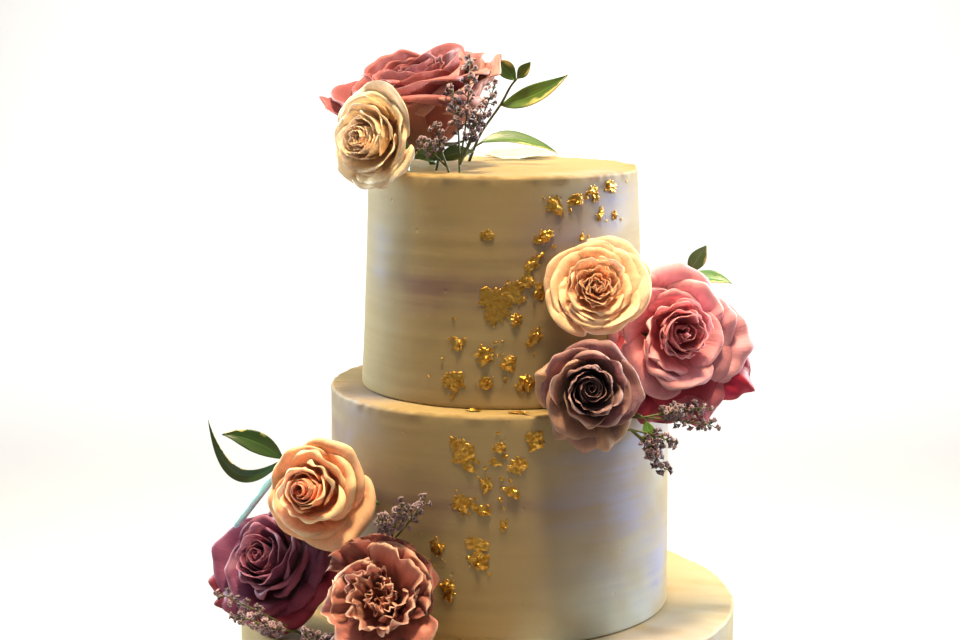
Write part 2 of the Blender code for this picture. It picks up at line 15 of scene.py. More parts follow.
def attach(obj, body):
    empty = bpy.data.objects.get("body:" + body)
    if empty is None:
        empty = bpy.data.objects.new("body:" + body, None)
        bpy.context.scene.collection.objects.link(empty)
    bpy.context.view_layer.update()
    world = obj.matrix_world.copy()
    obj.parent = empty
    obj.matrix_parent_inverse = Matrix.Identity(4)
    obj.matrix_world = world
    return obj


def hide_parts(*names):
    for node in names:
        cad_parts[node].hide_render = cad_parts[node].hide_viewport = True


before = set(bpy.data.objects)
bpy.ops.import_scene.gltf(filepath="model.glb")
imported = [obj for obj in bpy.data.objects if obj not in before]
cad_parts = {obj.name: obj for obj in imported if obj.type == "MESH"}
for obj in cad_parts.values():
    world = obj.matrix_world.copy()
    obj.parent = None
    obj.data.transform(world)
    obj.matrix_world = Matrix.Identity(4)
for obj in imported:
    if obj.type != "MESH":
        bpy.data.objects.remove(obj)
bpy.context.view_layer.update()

bl_info = {
    "name": "Flowered Buttercream Cake",
    "version": (1, 0, 0),
    "blender": (4, 5, 0),
    "location": "3D View > Sidebar > Cake",
    "description": "Dresses a three-tier buttercream cake with gold leaf, fresh flowers and leaves",
    "category": "Object",
}

MM = 0.001
TURN = 2 * math.pi
GOLDEN_ANGLE = math.radians(137.5)


# Tiers


class Tier(NamedTuple):
    """A round tier in mm: its axis, its radii at foot and top, its foot's height and its own height."""

    node: str
    centre_x: float
    foot_radius: float
    top_radius: float
    base: float
    height: float


class SoftPatch(NamedTuple):
    """A soft patch of colour in the buttercream: degrees round, mm up, its spread and its strength."""

    azimuth: float
    up: float
    wide: float
    high: float
    strength: float


TIERS = (
    Tier("tier_bottom", 0.0, 152.0, 152.0, 0.0, 130.0),
    Tier("tier_middle", 7.3, 103.8, 102.4, 130.3, 133.0),
    Tier("tier_top", 8.9, 85.2, 80.2, 263.6, 131.0),
)
RIM_RADIUS = 2.3
FOOT_RADIUS = 1.2
TIER_COLUMNS = 288
WALL_ROWS = 84
TOP_ROWS = 10
RIM_ROWS = 7
FOOT_ROWS = 4


class Waves(NamedTuple):
    """A sum of sine waves: how many, their shortest and longest length, and their depth."""

    count: int
    shortest: float
    longest: float
    depth: float


WALL_SWELL = Waves(9, 40, 110, 0.26)  # these are in mm
SCRAPER_LINES = Waves(7, 7, 20, 0.035)
LIP_SWELL = Waves(10, 9, 40, 0.35)
LIP_TEETH = Waves(12, 4, 9, 0.28)
TOP_SWELL = Waves(8, 14, 50, 0.16)
TOP_EDGE_SWELL = Waves(8, 10, 34, 0.22)
TOP_EDGE_TEETH = Waves(10, 4, 9, 0.24)
PATCH_WANDER = Waves(8, 12, 45, 1.0)  # how the edges of the soft patches wander
UNDERSIDE_ROWS = (0.97, 0.7, 0.4, 0.1)  # shares of the foot's radius

LAVENDER = {
    "tier_bottom": (SoftPatch(50, 128, 16, 10, 0.35), SoftPatch(-120, 60, 25, 22, 0.4), SoftPatch(160, 90, 18, 16, 0.35)),
    "tier_middle": (
        SoftPatch(46, 74, 14, 16, 1.2),
        SoftPatch(38, 96, 18, 22, 0.95),
        SoftPatch(30, 62, 16, 26, 0.6),
        SoftPatch(56, 108, 20, 20, 1.0),
        SoftPatch(60, 40, 18, 28, 0.9),
        SoftPatch(40, 30, 16, 18, 0.4),
        SoftPatch(-56, 121, 12, 14, 0.55),
        SoftPatch(-52, 60, 12, 18, 0.3),
        SoftPatch(150, 70, 25, 22, 0.6),
    ),
    "tier_top": (
        SoftPatch(50, 112, 22, 14, 0.85),
        SoftPatch(32, 100, 18, 16, 0.5),
        SoftPatch(-62, 85, 12, 22, 0.4),
        SoftPatch(-140, 60, 25, 20, 0.5),
    ),
}
# Painted cool side light: pale patches on the right of each tier, where the side light falls.
PAINTED_SIDE_LIGHT = {
    "tier_bottom": (SoftPatch(62, 130, 60, 12, 0.22),),
    "tier_middle": (
        SoftPatch(22, 2, 18, 22, 0.75),
        SoftPatch(34, 16, 18, 30, 1.0),
        SoftPatch(50, 22, 16, 34, 0.9),
        SoftPatch(24, 44, 9, 22, 0.45),
        SoftPatch(66, 96, 12, 24, 0.5),
    ),
    "tier_top": (SoftPatch(50, 100, 16, 20, 0.45), SoftPatch(28, 122, 12, 8, 0.4)),
}
UMBER = {
    "tier_bottom": (),
    "tier_middle": (
        SoftPatch(-72, 108, 16, 34, 0.6),
        SoftPatch(-26, 83, 24, 12, 0.9),
        SoftPatch(-4, 86, 16, 12, 0.7),
        SoftPatch(18, 80, 14, 12, 0.5),
    ),
    "tier_top": (
        SoftPatch(-26, 67, 24, 9, 1.1),
        SoftPatch(-4, 66, 14, 10, 0.8),
        SoftPatch(22, 92, 14, 22, 0.6),
        SoftPatch(150, 40, 20, 10, 0.4),
    ),
}


# Gold leaf


class Flake(NamedTuple):
    """A crumpled piece of gold leaf: degrees round, mm above the tier's foot, size in mm, degrees turned."""

    azimuth: float
    up: float
    wide: float
    high: float
    turned: float
    crumple: float


FLAKES = {
    "tier_top": (
        Flake(21, 115, 9, 11, 30, 1.5),
        Flake(30, 117, 9, 9, 0, 1.5),
        Flake(40, 120, 6, 9, 20, 1.3),
        Flake(50, 123, 11, 6, -10, 1.1),
        Flake(43, 108, 4, 9, -30, 1.2),
        Flake(52, 107, 4, 5, -30, 1.3),
        Flake(-6, 98, 7, 6, 20, 0.6),
        Flake(16, 97, 11, 6, 25, 1.3),
        Flake(33, 96, 4, 5, 0, 1.2),
        Flake(12, 83, 13, 6, 40, 1.2),
        Flake(9, 73, 9, 7, 60, 1.1),
        Flake(-2, 59, 19, 20, 15, 0.4),
        Flake(4, 66, 11, 12, 40, 0.6),
        Flake(5, 51, 6, 7, 20, 1.0),
        Flake(14, 67, 5, 11, 10, 1.1),
        Flake(-17, 37, 9, 7, 40, 1.2),
        Flake(-7, 31, 10, 11, 0, 1.4),
        Flake(2, 26, 8, 9, 10, 1.0),
        Flake(12, 40, 7, 11, -20, 1.2),
        Flake(-19, 15, 12, 10, 0, 1.2),
        Flake(-6, 15, 8, 8, 10, 0.9),
        Flake(9, 15, 10, 9, 25, 1.3),
    ),
    "tier_middle": (
        Flake(-11, 111, 19, 12, -40, 0.9),
        Flake(0, 115, 7, 5, 10, 1.2),
        Flake(11, 119, 10, 10, 0, 1.3),
        Flake(6, 105, 10, 9, 30, 1.2),
        Flake(-1, 107, 7, 4, 0, 0.6),
        Flake(-4, 94, 5, 11, -10, 0.9),
        Flake(4, 90, 10, 6, -30, 1.4),
        Flake(-12, 83, 11, 10, 10, 0.8),
        Flake(-6, 80, 11, 5, -15, 1.0),
        Flake(1, 71, 3, 6, 0, 0.6),
        Flake(-20, 56, 8, 9, 0, 1.0),
        Flake(-7, 60, 12, 7, -20, 0.9),
        Flake(-6, 50, 11, 10, 20, 1.1),
        Flake(-24, 45, 10, 6, 0, 1.0),
        Flake(-16, 32, 9, 12, -10, 1.3),
    ),
}
LEDGE_FLAKES = ((-7.0, -88.5, 9.0, 4.0, 10.0), (18.5, -94.5, 12.0, 4.5, -12.0))  # x, y, sizes, degrees
LEDGE_TOP = 263.6
FLAKE_SEED = 11
FLAKE_THICKNESS = 0.08
CRUMB_THICKNESS = 0.06
LARGE_FLAKE = 30  # width and height together, from which a flake gets a finer grid
FLAKE_STEPS = 22
LARGE_FLAKE_STEPS = 34
SECOND_LAYER_STEPS = 18
CRUMB_STEPS = 7
FLAKE_GAP = 0.2  # between a flake's lowest folds and the icing
LEDGE_GAP = 0.15
RAGGED_RIM = Waves(6, 0.8, 2.4, 0.22)  # as shares of the radius, along a circle of radius 1
FRAYED_RIM = Waves(6, 0.2, 0.6, 0.16)
FLAKE_CREEP = Waves(4, 2, 6, 0.35)  # sideways, in mm for a crumple of 1
FOLDS = 6
FOLD_LENGTHS = (2.6, 9.0)
FOLD_DEPTHS = (0.3, 0.6)
SECOND_LAYER_SIZE = 0.6
SECOND_LAYER_CRUMPLE = 1.35
CRUMB_WIDTHS = (0.8, 2.6)
CRUMB_CRUMPLE = 0.5


# Flowers


class Habit(NamedTuple):
    """How a flower is built: its size in mm, its petals and how they open, curl and ruffle."""

    radius: float
    height: float
    petals: int
    opens_from: float = 0.35  # share of the petals after which they start to lean out
    droop: float = 0.5  # how far the outermost rims fall, as a share of the height
    heart: float = 0.85  # height of the heart, as a share of the height
    inner_width: float = 2.6  # half the angle that a petal wraps round, in radians
    outer_width: float = 1.0
    roundness: float = 0.45
    corner: float = 0.7  # how much a petal narrows to its rim
    tip: float = 0.05  # length of the point in the middle of a rim
    roll: float = 110.0  # degrees that the outermost rims curl back
    roll_radius: float = 3.0
    frill: float = 0.9  # depth of the long waves
    waves: float = 1.4  # long waves from one side of a petal to the other
    edge: float = 0.4  # depth of the short ruffles along a rim
    edge_waves: float = 4.0
    crinkle: float = 0.5  # depth of the uneven creases all over a petal
    crease: float = 1.0
    lean: float = 1.0
    looseness: float = 0.12  # how unevenly the petals stand
    fold: float = 0.0  # how deeply the heart's petals are folded
    fill: float = 0.2  # how far up the heart's petals start, so that its folds are shallow
    bud: float = 0.0  # how far the heart stands up from the petals round it, as a share of the height
    hollow: float = 0.0  # how much deeper the heart sits than the petals round it, as a share of the height


class Guard(NamedTuple):
    """A large petal under a flower: degrees clockwise from the top as seen from the front, and its reach."""

    clock: float
    reach: float
    wide: float
    roll: float
    red: float  # how far it takes the guard colour


class Bloom(NamedTuple):
    """A flower on the cake: the middle of its head, its stem's foot, the way it faces and its colours."""

    node: str
    centre: tuple
    foot: tuple
    azimuth: float
    elevation: float
    spin: float
    seed: int
    habit: Habit
    heart: tuple
    base: tuple
    rim: tuple
    guard: tuple = (0.5, 0.05, 0.05)
    guards: tuple = ()
    blush_and_shade: tuple = (180.0, 0.0)  # clock direction in which outer petals take the guard colour, and how far: a blush, and painted shade on the mauve rose and the lisianthus
    calyx: float = 0.5  # reach of the sepals, as a share of the radius
    hang: tuple = (180.0, 0.0)  # clock direction in which the petals reach further, and by how much


BLOOMS = (
    Bloom(
        "rose_right_purple", (57, -104, 280), (50, -66, 276), 2, 9, 20, 4,
        Habit(
            radius=30, height=34, petals=30, opens_from=0.55, droop=0.46, heart=0.84, inner_width=2.9,
            outer_width=1.1, roundness=0.50, corner=0.78, tip=0.10, roll=80, roll_radius=1.7, frill=0.45,
            waves=1.1, edge=0.12, edge_waves=3.5, crinkle=0.55, crease=1.5, lean=0.9, looseness=0.14,
        ),
        heart=(0.045, 0.010, 0.03), base=(0.055, 0.014, 0.026), rim=(0.50, 0.27, 0.25),
        guard=(0.44, 0.25, 0.15), blush_and_shade=(235.0, 0.55), hang=(180.0, 0.12),
        guards=(
            Guard(165, 1.0, 0.9, 45, 0.8), Guard(215, 0.95, 0.8, 60, 0.6), Guard(285, 1.02, 0.8, 55, 0.75),
        ),
    ),
    Bloom(
        "rose_right_cream", (60.3, -84, 332), (53, -60, 327), 4, 22, 75, 5,
        Habit(
            radius=30.5, height=27, petals=50, opens_from=0.12, droop=0.34, heart=0.78, inner_width=1.2,
            outer_width=0.80, roundness=0.30, corner=0.35, tip=0.0, roll=55, roll_radius=1.3, frill=0.8,
            waves=1.3, edge=0.1, edge_waves=5.0, crinkle=0.4, crease=0.3, lean=0.85, looseness=0.32, fold=0.8,
            fill=0.6, bud=0.08,
        ),
        heart=(1.0, 0.50, 0.28), base=(1.0, 0.44, 0.20), rim=(0.98, 0.76, 0.50),
    ),
    Bloom(
        "rose_right_mauve", (108.5, -55, 302), (78, -30, 288), 14, 12, 10, 3,
        Habit(
            radius=46, height=38, petals=46, opens_from=0.10, droop=0.50, heart=0.84, inner_width=1.5,
            outer_width=0.86, roundness=0.50, corner=0.78, tip=0.08, roll=125, roll_radius=2.2, frill=1.1,
            edge=0.2, edge_waves=3.5, crinkle=0.9, crease=1.8, lean=0.95, looseness=0.38, fold=0.5, fill=0.5,
            bud=0.1,
        ),
        heart=(0.90, 0.27, 0.33), base=(0.62, 0.09, 0.13), rim=(0.98, 0.54, 0.58),
        # The dark crimson guard colour on its lower outer and guard petals is partly their own deeper colour
        # and partly painted shade under the rose.
        guard=(0.36, 0.008, 0.035), blush_and_shade=(206.0, 0.95), hang=(200.0, 0.08), guards=(
            Guard(124, 1.16, 0.46, 40, 1.0), Guard(166, 1.05, 0.7, 20, 0.9), Guard(204, 1.05, 0.7, 15, 0.95),
        ),
    ),
    Bloom(
        "rose_left_peach", (-98, -82, 216), (-72, -48, 205), -14, 12, 40, 6,
        Habit(
            radius=33, height=38, petals=24, opens_from=0.42, droop=0.46, heart=0.88, inner_width=2.6,
            outer_width=1.25, roundness=0.42, corner=0.70, tip=0.09, roll=125, roll_radius=2.0, frill=0.9,
            waves=1.2, edge=0.15, edge_waves=3.5, crinkle=0.6, crease=1.2, lean=0.85, looseness=0.18,
            fill=0.65, bud=0.28,
        ),
        heart=(1.0, 0.33, 0.19), base=(0.98, 0.36, 0.18), rim=(0.98, 0.84, 0.48),
        calyx=1.08, hang=(120.0, 0.13),
    ),
    Bloom(
        "lisianthus_left", (-59, -118, 162), (-50, -80, 150), -6, 30, 0, 9,
        Habit(
            radius=37, height=32, petals=30, opens_from=0.10, droop=0.42, heart=0.84, inner_width=0.8,
            outer_width=0.85, roundness=0.12, corner=0.05, tip=0.0, roll=55, roll_radius=2.2, frill=2.2,
            waves=2.0, edge=1.1, edge_waves=7.0, crinkle=2.2, crease=0.0, lean=0.85, looseness=0.6, fold=0.6,
            hollow=0.25,
        ),
        # Its lighter heart is painted light on its lit centre. The dark guard colour on its upper outer
        # petals is painted shadow from the peach rose above.
        heart=(0.62, 0.27, 0.18), base=(0.36, 0.12, 0.08), rim=(0.88, 0.54, 0.42),
        guard=(0.18, 0.035, 0.030), blush_and_shade=(25.0, 0.9),
    ),
    Bloom(
        "rose_left_burgundy", (-124, -62, 166), (-86, -29, 144), -32, 30, 65, 8,
        Habit(
            radius=39.5, height=36, petals=34, opens_from=0.22, droop=0.45, heart=0.90, inner_width=2.6,
            outer_width=1.05, roundness=0.48, corner=0.80, tip=0.09, roll=125, roll_radius=2.2, frill=0.9,
            waves=1.2, edge=0.2, crinkle=0.8, crease=1.6, lean=0.95, looseness=0.24, fill=0.35, bud=0.12,
        ),
        heart=(0.20, 0.04, 0.09), base=(0.09, 0.008, 0.024), rim=(0.46, 0.15, 0.25),
        guard=(0.20, 0.008, 0.025), blush_and_shade=(150.0, 0.6), guards=(
            Guard(262, 1.06, 0.7, 40, 0.9), Guard(235, 1.02, 0.6, 60, 0.7),
            Guard(118, 1.14, 0.8, 25, 0.9), Guard(155, 1.12, 0.8, 25, 0.95),
        ),
    ),
    Bloom(
        "rose_top_cream", (-64.5, -50.5, 413), (-47, -42, 391), -36, 8, 30, 7,
        Habit(
            radius=33, height=34, petals=46, opens_from=0.20, droop=0.32, heart=0.80, inner_width=1.6,
            outer_width=0.90, roundness=0.32, corner=0.40, tip=0.02, roll=50, roll_radius=1.5, frill=0.7,
            waves=1.2, edge=0.12, edge_waves=5.0, crinkle=0.45, crease=0.4, lean=0.80, looseness=0.20,
            fold=0.5, fill=0.6, bud=0.12,
        ),
        heart=(1.0, 0.64, 0.40), base=(1.0, 0.56, 0.29), rim=(1.0, 0.80, 0.58),
    ),
    Bloom(
        "rose_top_pink", (-41, 0, 429), (-24, 6, 391), -50, 73, 15, 10,
        Habit(
            radius=51, height=54, petals=54, opens_from=0.18, droop=0.19, heart=0.84, inner_width=1.8,
            outer_width=1.0, roundness=0.30, corner=0.55, tip=0.03, roll=120, roll_radius=2.6, frill=1.3,
            edge=0.25, crinkle=0.9, crease=0.8, lean=0.80, looseness=0.22, fill=0.3,
        ),
        heart=(0.24, 0.030, 0.045), base=(0.26, 0.045, 0.045), rim=(0.46, 0.115, 0.115),
        guard=(0.50, 0.20, 0.165), blush_and_shade=(145.0, 0.95), hang=(90.0, 0.04),
        guards=(Guard(262, 1.13, 0.75, 50, 0.0), Guard(92, 0.98, 1.1, 60, 0.9)),
    ),
)
ROLL_START = 0.78  # how far up a petal its rim begins to turn back
PETAL_ROWS = 28
PETAL_COLUMNS = 34
HEART_DETAIL = 0.6  # share of those that the innermost petal has
CREASES = Waves(7, 0.35, 1.0, 1.0)  # along a petal whose sides are at -1 and 1
HEAD_MIDDLE = 0.45  # share of a flower's height at which its centre lies
BLUSH_AND_SHADE_SIDES = (0.1, 0.8)  # the blush and painted shade fade in where the cosine of the angle to its direction goes from and to
BLUSH_AND_SHADE_LAYERS = (0.48, 0.76)  # and between these layers
BLUSH_AND_SHADE_DROP = 2.0  # how far petals that take the blush and painted shade sit lower, so that their tips don't poke through
GUARD_DROP = 1.5
GUARD_TIP = 0.16
SEPALS = 5
SEPAL_TURN = 0.4
SEPAL_WIDTH = 7
SEPAL_THICKNESS = 0.6
SEPAL_GRID = (12, 7)  # rows and columns
CALYX_REACH = 0.5  # reach of the sepals on the side away from the hang, as a share of the radius
NECK = ((0, 0, 4), (0, 0, -3), (0, 0, -12))  # the neck's path, in the flower's own axes
STEM_POINTS = 18
STEM_RADIUS = 2.3
NECK_SWELL = 2.6


# Leaves, statice and the stem tube


class Leaf(NamedTuple):
    """A leaf blade: three points along it, its width and the way that its upper side faces."""

    start: tuple
    middle: tuple
    end: tuple
    width: float
    face: tuple


class Spray(NamedTuple):
    """Leaves on one stem, and how they are coloured."""

    node: str
    stem: tuple
    leaves: tuple
    tone: tuple  # leaf colour
    margin: float  # how far the pale margin spreads, 0 for none


class Sprig(NamedTuple):
    """A forked sprig of statice: its foot, its fork, its stems' tips and the flowers on each stem."""

    node: str
    foot: tuple
    fork: tuple
    tips: tuple
    florets: int
    seed: int
    light: float = 1.0  # how pale its flowers may be


SPRAYS = (
    Spray("leaves_top_back", ((-12, 30, 394.9), (-5, 24, 412), (7, 12, 430), (13, 9, 441), (17, 8, 446)), (
        Leaf((7, 12, 430), (27, 4, 437), (47, -4, 448.5), 13, (0, -1, 0.6)),
        Leaf((16, 8, 445), (10, 6, 452), (5, 5, 457), 10, (0, -1, 0.2)),
        Leaf((17, 8, 446), (21, 6, 451), (25, 4, 456), 7, (0, -1, 0.4)),
    ), (0.10, 0.20, 0.03), 0.55),
    Spray("leaves_top_low", ((-12, 38, 394.9), (-10, 38, 402), (-4, 39, 406)), (
        Leaf((-5, 39, 406), (19, 44, 408.5), (43, 50, 398), 14, (0.2, -0.5, 1)),
    ), (0.08, 0.15, 0.02), 0.35),
    Spray("leaves_top_base", ((-30, -36, 394.9), (-29, -38, 399), (-28, -40, 403)), (
        Leaf((-29, -39, 401), (-36, -44, 404), (-42, -49, 402), 11, (0, -1, 1)),
        Leaf((-28, -40, 401), (-31, -42, 407), (-34, -44, 412), 10, (0, -1, 0.3)),
        Leaf((-28, -40, 401), (-18, -36, 405), (-8, -30, 405), 10, (0, -1, 0.7)),
    ), (0.07, 0.13, 0.02), 0.2),
    Spray("leaves_right_upper", ((88, 8, 302), (104, -2, 318), (114, -14, 328), (119, -18, 333)), (
        Leaf((119, -18, 333), (124, -23, 342), (128.5, -25, 350), 10, (0, -1, 0.2)),
        Leaf((114, -14, 328), (130, -21, 331), (144, -25, 327.5), 11, (0, -0.8, 1)),
    ), (0.09, 0.25, 0.07), 0.3),
    Spray("leaf_right_lower", ((78, -73, 259), (86, -80, 260), (90, -83, 257)), (
        Leaf((90, -83, 257), (92, -86, 251), (95, -88, 245), 7, (0.2, -1, 0)),
    ), (0.10, 0.24, 0.03), 0.0),
    Spray("leaves_left_upper", ((-96, -10, 216), (-108, -22, 220), (-121, -38, 223)), (
        Leaf((-121, -38, 223), (-138, -42, 235), (-156, -44, 239), 13, (0, -1, 0.6)),
        Leaf((-121, -38, 223), (-147, -50, 217), (-162.5, -54, 250), 8, (0, -1, 0)),
    ), (0.025, 0.075, 0.008), 0.1),
)

SPRIGS = (
    Sprig("statice_top_tall", (-16, -56, 394.9), (-16, -56, 399),
          ((-10, -54, 458), (4, -50, 444), (-20, -52, 442), (-4, -61, 430)), 20, 3, 0.6),
    Sprig("statice_top_low", (-22, -55, 394.9), (-23, -56, 398),
          ((-29, -58, 420), (-37, -57, 413)), 12, 5, 0.5),
    Sprig("statice_right_long", (76, -71, 257), (88, -82, 258.6),
          ((129, -72, 252), (125, -70, 262), (108, -82, 262)), 20, 11, 0.45),
    Sprig("statice_right_short", (70, -76, 249), (81, -87, 253),
          ((101, -88, 230), (95, -92, 240), (105, -87, 246)), 18, 13, 0.6),
    Sprig("statice_left_inner", (-53, -84, 186), (-54, -100, 190),
          ((-34, -110, 217), (-46, -112, 215), (-58, -112, 207)), 14, 17, 0.5),
    Sprig("statice_left_outer", (-103, -88, 130.3), (-107, -91, 134),
          ((-151, -92, 157), (-142, -98, 146), (-127, -106, 143)), 15, 19, 0.6),
    Sprig("statice_left_low", (-84, -104, 130.3), (-85, -106, 133),
          ((-100, -116, 141), (-87, -122, 139)), 13, 23, 0.5),
)

FORK_RADIUS = 0.75
SPRIG_RADII = (0.7, 0.35)  # from the fork to a tip
SPRIG_POINTS = 20
TWIG_RADIUS = 0.28
FLOWERS_FROM = 0.46  # share of a stem that has no flowers
SPIN_REFERENCE = (0.31, 0.22, 0.92)  # the direction that a flower's spin is measured from
FLORET_COLUMNS = 10
FLORET_PROFILE = ((0.32, 0.1), (0.75, 1.8), (1.75, 3.0), (0.9, 2.5), (0.25, 1.5))  # radius and height
FLORET_POLES = ((0, 0, -0.1), (0, 0, 1.3))
FLORET_SHADES = (0.0, 0.45, 1.0, 0.75, 0.35)  # from 0 at the foot to 1 at the rim, for each profile point
FLORET_POLE_SHADES = (0.0, 0.25)

PICK_ENDS = ((-114.5, -49, 229), (-148, -56, 186))
PICK_RADIUS = 2.6
PICK_SHARES = (0, 0.02, 0.05, 0.08, 0.3, 0.6, 0.9, 0.95, 0.98, 1.0)  # of its length
PICK_TAPER = (0.6, 0.95, 1, 0.86, 0.84, 0.82, 0.80, 0.78, 0.6, 0.3)  # share of its radius there
LOOSE_PETAL = Leaf((-3, 60, 396.5), (20, 63, 398), (43, 60, 396.5), 22, (0, -0.3, 1))
LEAF_THICKNESS = 0.5
LEAF_GRID = (30, 13)  # rows and columns
LOOSE_PETAL_THICKNESS = 0.4
LOOSE_PETAL_GRID = (26, 15)
SPRAY_STEM_RADII = (0.95, 0.6)  # from its foot to its tip
SPRAY_STEM_POINTS = 24
STALK_TINT = (0.5, 0.5, 0)
NO_TINT = (0, 0, 0)


# The camera of the photograph's view

CAMERA_PLACE = (0.00693, -1.09493, 0.4805)
CAMERA_PITCH = 0.1626
CAMERA_YAW = -0.0107
CAMERA_ROLL = 0.0023
CAMERA_LENS = 68.6
SENSOR_WIDTH = 36.0


# The lights and the floor


class Lamp(NamedTuple):
    """A square lamp in metres: its place, what it looks at, its width, its power's setting and its colour."""

    name: str
    place: tuple
    target: tuple
    size: float
    setting: str
    colour: tuple
    spread: float = 180.0  # degrees, small where its light has to stay on the cake and off the floor
    share: float = 1.0  # of the setting's power


CAKE_MIDDLE = (0, 0, 0.28)
LAMPS = (
    Lamp("Backdrop light", (0, 1.1, 2.6), (0, 2.5, 0.1), 2.4, "backdrop", (1.0, 0.98, 0.95), 104),
    Lamp("Top light", (0.10, -0.36, 3.0), (0.04, 0, 0.2), 0.45, "top", (1.0, 0.78, 0.43), 36),
    Lamp("Overhead", (0, 0.4, 3.2), (0, 0.4, 0), 2.0, "overhead", (1.0, 0.88, 0.68)),
    Lamp("Right light", (1.3, 0.75, 0.75), CAKE_MIDDLE, 0.7, "side", (0.90, 0.98, 0.98), 50),
    Lamp("Left light", (-1.3, 0.8, 0.75), CAKE_MIDDLE, 0.7, "side", (0.84, 1.0, 0.98), 50, 0.78),
    Lamp("Front fill", (-0.7, -1.0, 1.3), CAKE_MIDDLE, 0.7, "fill", (1.0, 0.72, 0.46)),
)
SURROUND = (1.0, 0.94, 0.85, 1.0)

FLOOR_FRONT = -9000
FLOOR_BEND = 2000  # where the floor begins to turn up into the backdrop
BEND_RADIUS = 1000
BACKDROP_TOP = 3600
FLOOR_DROP = 1.0  # how far the floor lies under the cake
FLOOR_THICKNESS = 2.0


# Arithmetic


def smooth(x, low=0.0, high=1.0):
    """Rises from 0 to 1 between low and high with level ends: 3s^2 - 2s^3."""
    share = np.clip((x - low) / (high - low), 0.0, 1.0)
    return share * share * (3 - 2 * share)


def mix(a, b, share):
    return a + (b - a) * share


def ripples(draw, count, shortest, longest, *coordinates):
    """A sum of plane sine waves with random directions, lengths and phases, scaled to about -1 to 1."""
    total = 0.0
    for _ in range(count):
        direction = draw.normal(size=len(coordinates))
        direction *= TURN / draw.uniform(shortest, longest) / np.linalg.norm(direction)
        phase = sum(d * c for d, c in zip(direction, coordinates)) + draw.uniform(0, TURN)
        total = total + np.sin(phase)
    return total / math.sqrt(count)


def waves(draw, kind, *coordinates):
    """The ripples of one kind, as deep as it says."""
    return kind.depth * ripples(draw, kind.count, kind.shortest, kind.longest, *coordinates)


def unit(vectors):
    return vectors / np.maximum(np.linalg.norm(vectors, axis=-1, keepdims=True), 1e-12)


def keep_off_tiers(points, gap=0.4):
    """Moves points in mm that lie inside a tier out to its wall or up to its top, whichever is nearer."""
    x, y, z = points[..., 0], points[..., 1], points[..., 2]
    for tier in TIERS:
        share = np.clip((z - tier.base) / tier.height, 0, 1)
        wall = mix(tier.foot_radius, tier.top_radius, share) + gap
        away = np.maximum(np.hypot(x - tier.centre_x, y), 1e-6)
        depth, below = wall - away, tier.base + tier.height + gap - z
        inside = (depth > 0) & (below > 0) & (z > tier.base)
        outwards = inside & (depth <= below)
        grow = np.where(outwards, wall / away, 1.0)
        x, y = tier.centre_x + (x - tier.centre_x) * grow, y * grow
        z = np.where(inside & ~outwards, z + below, z)
    return np.stack([x, y, z], -1)


# Meshes


def grid_quads(rows, columns, closed=False):
    """The corner numbers of a grid's quads. A closed grid joins its last column to its first."""
    number = np.arange(rows * columns).reshape(rows, columns)
    if closed:
        number = np.concatenate([number, number[:, :1]], axis=1)
    corners = (number[:-1, :-1], number[:-1, 1:], number[1:, 1:], number[1:, :-1])
    return np.stack(corners, -1).reshape(-1, 4)


def shell_faces(rows, columns):
    """Faces of a grid that is closed round, with a fan at each end.

    The two poles are numbered after the grid. The faces point outwards where the rows go down and the columns
    go round anticlockwise, seen from above.
    """
    around = np.arange(columns)
    after = np.roll(around, -1)
    first, last, foot = rows * columns, rows * columns + 1, (rows - 1) * columns
    return [
        grid_quads(rows, columns, closed=True)[:, ::-1],
        np.stack([np.full(columns, first), around, after], -1),
        np.stack([np.full(columns, last), after + foot, around + foot], -1),
    ]


